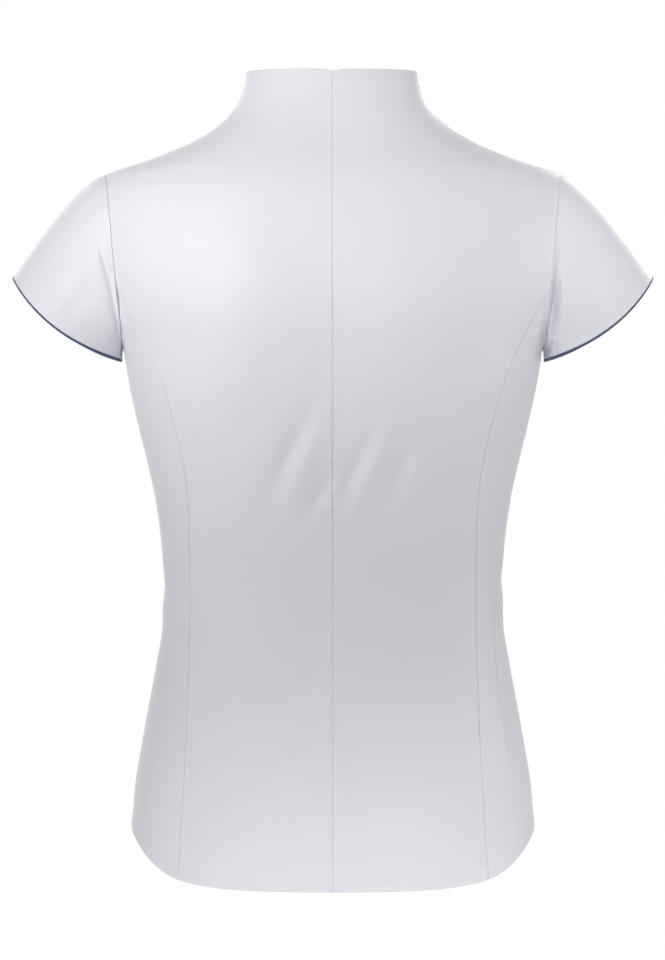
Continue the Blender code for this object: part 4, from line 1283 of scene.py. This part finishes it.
class Nodes:
    """Adds nodes to a material and joins them."""

    def __init__(self, name):
        self.material = bpy.data.materials.new(name)
        self.material.use_nodes = True
        self.tree = self.material.node_tree
        self.shader = self.tree.nodes["Principled BSDF"]

    def add(self, kind, inputs=(), **settings):
        made = self.tree.nodes.new(kind)
        for key, value in settings.items():
            setattr(made, key, value)
        for key, value in dict(inputs).items():
            if isinstance(value, bpy.types.NodeSocket):
                self.tree.links.new(value, made.inputs[key])
            else:
                made.inputs[key].default_value = value
        return made.outputs

    def maths(self, operation, first, second=0.0):
        return self.add("ShaderNodeMath", {0: first, 1: second}, operation=operation)[0]

    def noise(self, vector, scale, detail=2.0, roughness=0.5):
        inputs = {"Vector": vector, "Scale": scale, "Detail": detail, "Roughness": roughness}
        return self.add("ShaderNodeTexNoise", inputs)["Fac"]

    def wave(self, value, pitch):
        """Goes up and down once in each pitch."""
        return self.maths("SINE", self.maths("MULTIPLY", value, 2 * math.pi / pitch))

    def stretched(self, u, v, per_u, per_v):
        inputs = {0: self.maths("MULTIPLY", u, per_u), 1: self.maths("MULTIPLY", v, per_v)}
        return self.add("ShaderNodeCombineXYZ", inputs)[0]

    def blend(self, factor, first, second):
        made = self.tree.nodes.new("ShaderNodeMix")
        made.data_type = "RGBA"
        self.tree.links.new(factor, made.inputs["Factor"])
        sockets = [socket for socket in made.inputs if socket.type == "RGBA"]
        for socket, colour in zip(sockets, (first, second)):
            socket.default_value = (*colour, 1.0)
        return next(socket for socket in made.outputs if socket.type == "RGBA")

    def spread(self, value, low, high, to_low, to_high):
        inputs = {"Value": value, "From Min": low, "From Max": high, "To Min": to_low, "To Max": to_high}
        return self.add("ShaderNodeMapRange", inputs)[0]

    def bump(self, height, strength, distance, normal=None):
        inputs = {"Height": height, "Strength": strength, "Distance": distance}
        if normal is not None:
            inputs["Normal"] = normal
        return self.add("ShaderNodeBump", inputs)["Normal"]

    def finish(self, colour, roughness, normal, **constants):
        self.tree.links.new(colour, self.shader.inputs["Base Color"])
        self.tree.links.new(roughness, self.shader.inputs["Roughness"])
        self.tree.links.new(normal, self.shader.inputs["Normal"])
        for key, value in constants.items():
            self.shader.inputs[key.replace("_", " ")].default_value = value
        return self.material


def cloth_material():
    """White cotton satin: fine yarns with a diagonal lie, slight slubs, and soft unevenness from wear."""
    nodes = Nodes("white_satin")
    place = nodes.add("ShaderNodeUVMap", uv_map="cloth")[0]
    u, v, _ = nodes.add("ShaderNodeSeparateXYZ", {0: place})
    warp, weft = nodes.wave(u, YARN), nodes.wave(v, YARN)
    lie = nodes.wave(nodes.maths("ADD", u, v), TWILL)
    yarns = nodes.maths("ADD", nodes.maths("MULTIPLY", warp, weft), nodes.maths("MULTIPLY", lie, 0.6))
    weft_slub = nodes.noise(nodes.stretched(u, v, 45.0, 1500.0), 1.0)
    warp_slub = nodes.noise(nodes.stretched(u, v, 1500.0, 45.0), 1.0)
    slub = nodes.maths("ADD", weft_slub, nodes.maths("MULTIPLY", warp_slub, 0.6))
    place = nodes.add("ShaderNodeTexCoord")["Object"]
    soft = nodes.noise(place, 34.0, 2.0, 0.45)
    broad = nodes.noise(place, 9.0, 2.0)
    mixed = nodes.maths("ADD", nodes.maths("MULTIPLY", slub, 0.5), nodes.maths("MULTIPLY", broad, 0.6))
    colour = nodes.blend(nodes.spread(mixed, 0.45, 1.0, 0.0, 0.8), CLOTH_TINT, CLOTH_SHADE)
    roughness = nodes.spread(slub, 0.4, 1.2, 0.36, 0.46)
    normal = nodes.bump(soft, 0.5, 0.0009)
    normal = nodes.bump(slub, 0.35, 0.00007, normal)
    normal = nodes.bump(yarns, 0.30, 0.00004, normal)
    return nodes.finish(
        colour, roughness, normal, Sheen_Weight=0.25, Sheen_Roughness=0.45, Specular_IOR_Level=0.35
    )


def piping_material():
    """Blue woven piping with a fine diagonal. Its colour varies at random with its slubs, and has painted
    shade where the weave lies low.
    """
    nodes = Nodes("blue_cord")
    place = nodes.add("ShaderNodeUVMap", uv_map="cloth")[0]
    u, v, _ = nodes.add("ShaderNodeSeparateXYZ", {0: place})
    lie = nodes.wave(nodes.maths("ADD", u, v), CORD_TWILL)
    slub = nodes.noise(nodes.stretched(u, v, 700.0, 1600.0), 1.0)
    mixed = nodes.maths("ADD", nodes.maths("MULTIPLY", lie, 0.18), slub)
    # random tone of the slubs, and painted shade where the weave's bump lies low
    colour = nodes.blend(nodes.spread(mixed, 0.2, 0.9, 1.0, 0.0), PIPING_TINT, PIPING_SLUB_AND_GROOVE_SHADE)
    roughness = nodes.spread(slub, 0.3, 0.8, 0.55, 0.72)
    normal = nodes.bump(mixed, 0.5, 0.00012)
    return nodes.finish(colour, roughness, normal, Sheen_Weight=0.2, Specular_IOR_Level=0.35)


def thread_material():
    """White sewing thread with its twist, and painted shade in the grooves of the twist."""
    nodes = Nodes("white_thread")
    place = nodes.add("ShaderNodeTexCoord")["Object"]
    x, y, z = nodes.add("ShaderNodeSeparateXYZ", {0: place})
    twist = nodes.wave(nodes.maths("ADD", nodes.maths("ADD", x, y), z), THREAD_TWIST)
    fuzz = nodes.noise(place, 2600.0, 2.0)
    # painted shade: the colour darkens where the twist's bump lies low, in its grooves
    colour = nodes.blend(nodes.spread(twist, -1.0, 1.0, 0.7, 0.0), THREAD_TINT, THREAD_GROOVE_SHADE)
    roughness = nodes.spread(fuzz, 0.3, 0.7, 0.45, 0.62)
    return nodes.finish(
        colour, roughness, nodes.bump(twist, 0.5, 0.00006), Sheen_Weight=0.2, Specular_IOR_Level=0.4
    )


def button_material():
    """Polished white plastic with a faint cloudiness and fine wear."""
    nodes = Nodes("white_button")
    place = nodes.add("ShaderNodeTexCoord")["Object"]
    cloud = nodes.noise(place, 260.0, 3.0)
    scratch = nodes.noise(place, 2400.0, 4.0, 0.7)
    colour = nodes.blend(nodes.spread(cloud, 0.3, 0.7, 0.0, 1.0), BUTTON_TINT, BUTTON_SHADE)
    roughness = nodes.spread(scratch, 0.3, 0.7, 0.14, 0.30)
    return nodes.finish(
        colour, roughness, nodes.bump(scratch, 0.15, 0.00003), Coat_Weight=0.35, Coat_Roughness=0.1
    )


def floor_material():
    """A plain pale floor, lit so that it meets the background."""
    nodes = Nodes("pale_floor")
    place = nodes.add("ShaderNodeTexCoord")["Object"]
    grain = nodes.noise(place, 6.0, 3.0)
    colour = nodes.blend(grain, FLOOR_TINT, FLOOR_SHADE)
    roughness = nodes.spread(grain, 0.0, 1.0, 0.70, 0.85)
    return nodes.finish(
        colour, roughness, nodes.bump(grain, 0.05, 0.001), Emission_Color=(1.0, 1.0, 1.0, 1.0),
        Emission_Strength=FLOOR_GLOW, Specular_IOR_Level=0.1,
    )


# ---------------------------------------------------------------- light, floor and camera

# Soft boxes near the blouse: where each stands, how wide it is and its power.
SOFT_BOXES = table(
    "name x y z width power",
    ("key", 0.55, 1.18, 0.50, 0.60, 3.6),
    ("left", 1.22, 0.86, -0.12, 0.60, 1.7),
    ("right", -1.45, 0.26, 0.01, 0.60, 4.2),
    ("top", 0.0, 0.39, 1.20, 0.60, 1.0),
    ("front_key", -0.80, -1.20, 0.50, 0.60, 7.5),
    ("front_fill", 0.80, -1.20, 0.40, 0.70, 2.0),
)
# Snooted soft lamps near the blouse: where each stands, the place it is aimed at, how wide it is, the
# angle of its soft-edged beam and its power.
SNOOTS = table(
    "name x y z aim_x aim_z width beam power",
    ("upper", 0.62, 1.20, 0.12, 0.03, 0.00, 0.35, 30, 24.0),
    ("upper_left", 0.85, 1.10, 0.10, 0.21, -0.10, 0.35, 22, 9.0),
    ("upper_right", -0.60, 1.20, 0.10, -0.23, -0.05, 0.35, 20, 17.0),
    ("lower_left", 0.40, 1.35, -0.45, 0.05, -0.66, 0.35, 22, 21.0),
    ("lower_right", -0.45, 1.30, -0.45, -0.14, -0.65, 0.35, 20, 22.0),
)
# A broad lamp far away in front: the direction that it shines from, its strength and how wide it is.
FRONT_WAY, FRONT_STRENGTH, FRONT_WIDTH = (0.30, -0.95, 0.15), 0.40, 45
AIM = (0.0, 0.0, -0.25)
AMBIENT = 0.32
FLOOR_Z = -0.80
FLOOR_GLOW = 0.10
FLOOR_RINGS, FLOOR_COLUMNS = (0.005, 0.4, 0.8, 1.15), 96

CAMERA_DISTANCE = 3.5
CAMERA_HEIGHT = -0.2545
CAMERA_ASIDE = 0.0004
LENS, SENSOR = 156.25, 36.0


def add_light(name, kind, power, place, way, **settings):
    """A light at a place, which shines back along way."""
    data = bpy.data.lights.new(name, kind)
    data.energy = power
    for key, value in settings.items():
        setattr(data, key, value)
    thing = bpy.data.objects.new(name, data)
    thing.location = place
    thing.rotation_euler = (math.atan2(math.hypot(way[0], way[1]), way[2]), 0.0, math.atan2(way[0], -way[1]))
    bpy.context.scene.collection.objects.link(thing)


def add_lights():
    add_light("front", "SUN", FRONT_STRENGTH, (0.0, 0.0, 0.0), FRONT_WAY, angle=math.radians(FRONT_WIDTH))
    for box in SOFT_BOXES:
        way = (box.x - AIM[0], box.y - AIM[1], box.z - AIM[2])
        add_light(box.name, "AREA", box.power, (box.x, box.y, box.z), way, shape="DISK", size=box.width)
    for snoot in SNOOTS:
        way = (snoot.x - snoot.aim_x, snoot.y, snoot.z - snoot.aim_z)
        add_light(
            snoot.name, "SPOT", snoot.power, (snoot.x, snoot.y, snoot.z), way,
            shadow_soft_size=snoot.width / 2, spot_size=math.radians(snoot.beam), spot_blend=1.0,
        )


def add_floor():
    around = np.linspace(0, 2 * math.pi, FLOOR_COLUMNS, endpoint=False)
    r, a = np.meshgrid(FLOOR_RINGS, around, indexing="ij")
    points = np.stack([r * np.cos(a), r * np.sin(a), 0 * r + FLOOR_Z], axis=-1)
    floor = make_mesh("floor", points.reshape(-1, 3), quads(len(FLOOR_RINGS), FLOOR_COLUMNS, True))
    floor.data.materials.append(floor_material())


def add_background():
    """An even soft light from all round, in front of a white backdrop."""
    world = bpy.data.worlds.new("studio")
    bpy.context.scene.world = world
    world.use_nodes = True
    tree = world.node_tree
    tree.nodes.clear()
    output = tree.nodes.new("ShaderNodeOutputWorld")
    mix = tree.nodes.new("ShaderNodeMixShader")
    path = tree.nodes.new("ShaderNodeLightPath")
    for slot, (name, strength) in enumerate((("around", AMBIENT), ("backdrop", 1.0)), start=1):
        light = tree.nodes.new("ShaderNodeBackground")
        light.name = name
        light.inputs["Color"].default_value = (1.0, 1.0, 1.0, 1.0)
        light.inputs["Strength"].default_value = strength
        tree.links.new(light.outputs[0], mix.inputs[slot])
    tree.links.new(path.outputs["Is Camera Ray"], mix.inputs[0])
    tree.links.new(mix.outputs[0], output.inputs["Surface"])


def add_camera():
    data = bpy.data.cameras.new("camera")
    data.lens = LENS
    data.sensor_width = SENSOR
    data.clip_start, data.clip_end = 0.05, 60.0
    camera = bpy.data.objects.new("camera", data)
    camera.location = (CAMERA_ASIDE, CAMERA_DISTANCE, CAMERA_HEIGHT)
    camera.rotation_euler = (math.pi / 2, 0.0, math.pi)
    bpy.context.scene.collection.objects.link(camera)
    bpy.context.scene.camera = camera


# ---------------------------------------------------------------- the whole blouse

# Flat cut of each kind of piece: width, length, area.
Cut = namedtuple("Cut", "width length area")


def dress(piece, material, slot, *nodes):
    piece.data.materials.append(material)
    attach(piece, "root")
    if nodes:
        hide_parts(*nodes)
    return piece


def edge_kinds(kind, side):
    """How a panel ends at its left, right, bottom and top edge."""
    centre_seam = "loose" if side > 0 else "tight"
    return {
        "back": (centre_seam, "loose armhole", "free", "free"),
        "back_side": ("tight", "loose", "free", "armhole"),
        "front": ("armhole", "free", "free", "free"),
    }[kind]


def build():
    bpy.context.scene.view_settings.view_transform = "Standard"
    bpy.context.scene.view_settings.look = "None"
    cloth, cord, thread, plastic = cloth_material(), piping_material(), thread_material(), button_material()
    panels = {"back": back_grid(), "back_side": back_side_grid(), "front": front_grid()}
    for side, side_name in SIDES:
        for kind, (grid, at_armhole) in panels.items():
            drop = lap_drop if kind == "front" and side > 0 else None
            outer, inner, cloth_uv = panel_walls(grid, side, edge_kinds(kind, side), at_armhole, drop)
            piece = shell(f"cloth_{kind}_{side_name}", outer, inner, cloth_uv, side)
            dress(piece, cloth, "white_cloth", f"{kind}_{side_name}")
        sleeve, piping = add_sleeve(side, side_name)
        dress(sleeve, cloth, "white_cloth", f"sleeve_{side_name}")
        dress(piping, cord, "blue_piping", f"sleeve_piping_{side_name}")
        dress(dart(f"dart_waist_{side_name}", WAIST_DART, side), cloth, "white_cloth")
        dress(dart(f"dart_bust_{side_name}", BUST_DART, side), cloth, "white_cloth")
    for row in hem_stitches():
        dress(row, thread, "white_cloth")
    for number, height in enumerate(np.linspace(BUTTON_FIRST, BUTTON_LAST, BUTTON_COUNT), start=1):
        button, sewn = add_button(number, float(height))
        dress(button, plastic, "button_plastic", f"button_{number}")
        dress(sewn, thread, "white_cloth")
        dress(add_buttonhole(number, float(height)), thread, "white_cloth")
    add_floor()
    add_background()
    add_lights()
    add_camera()


build()
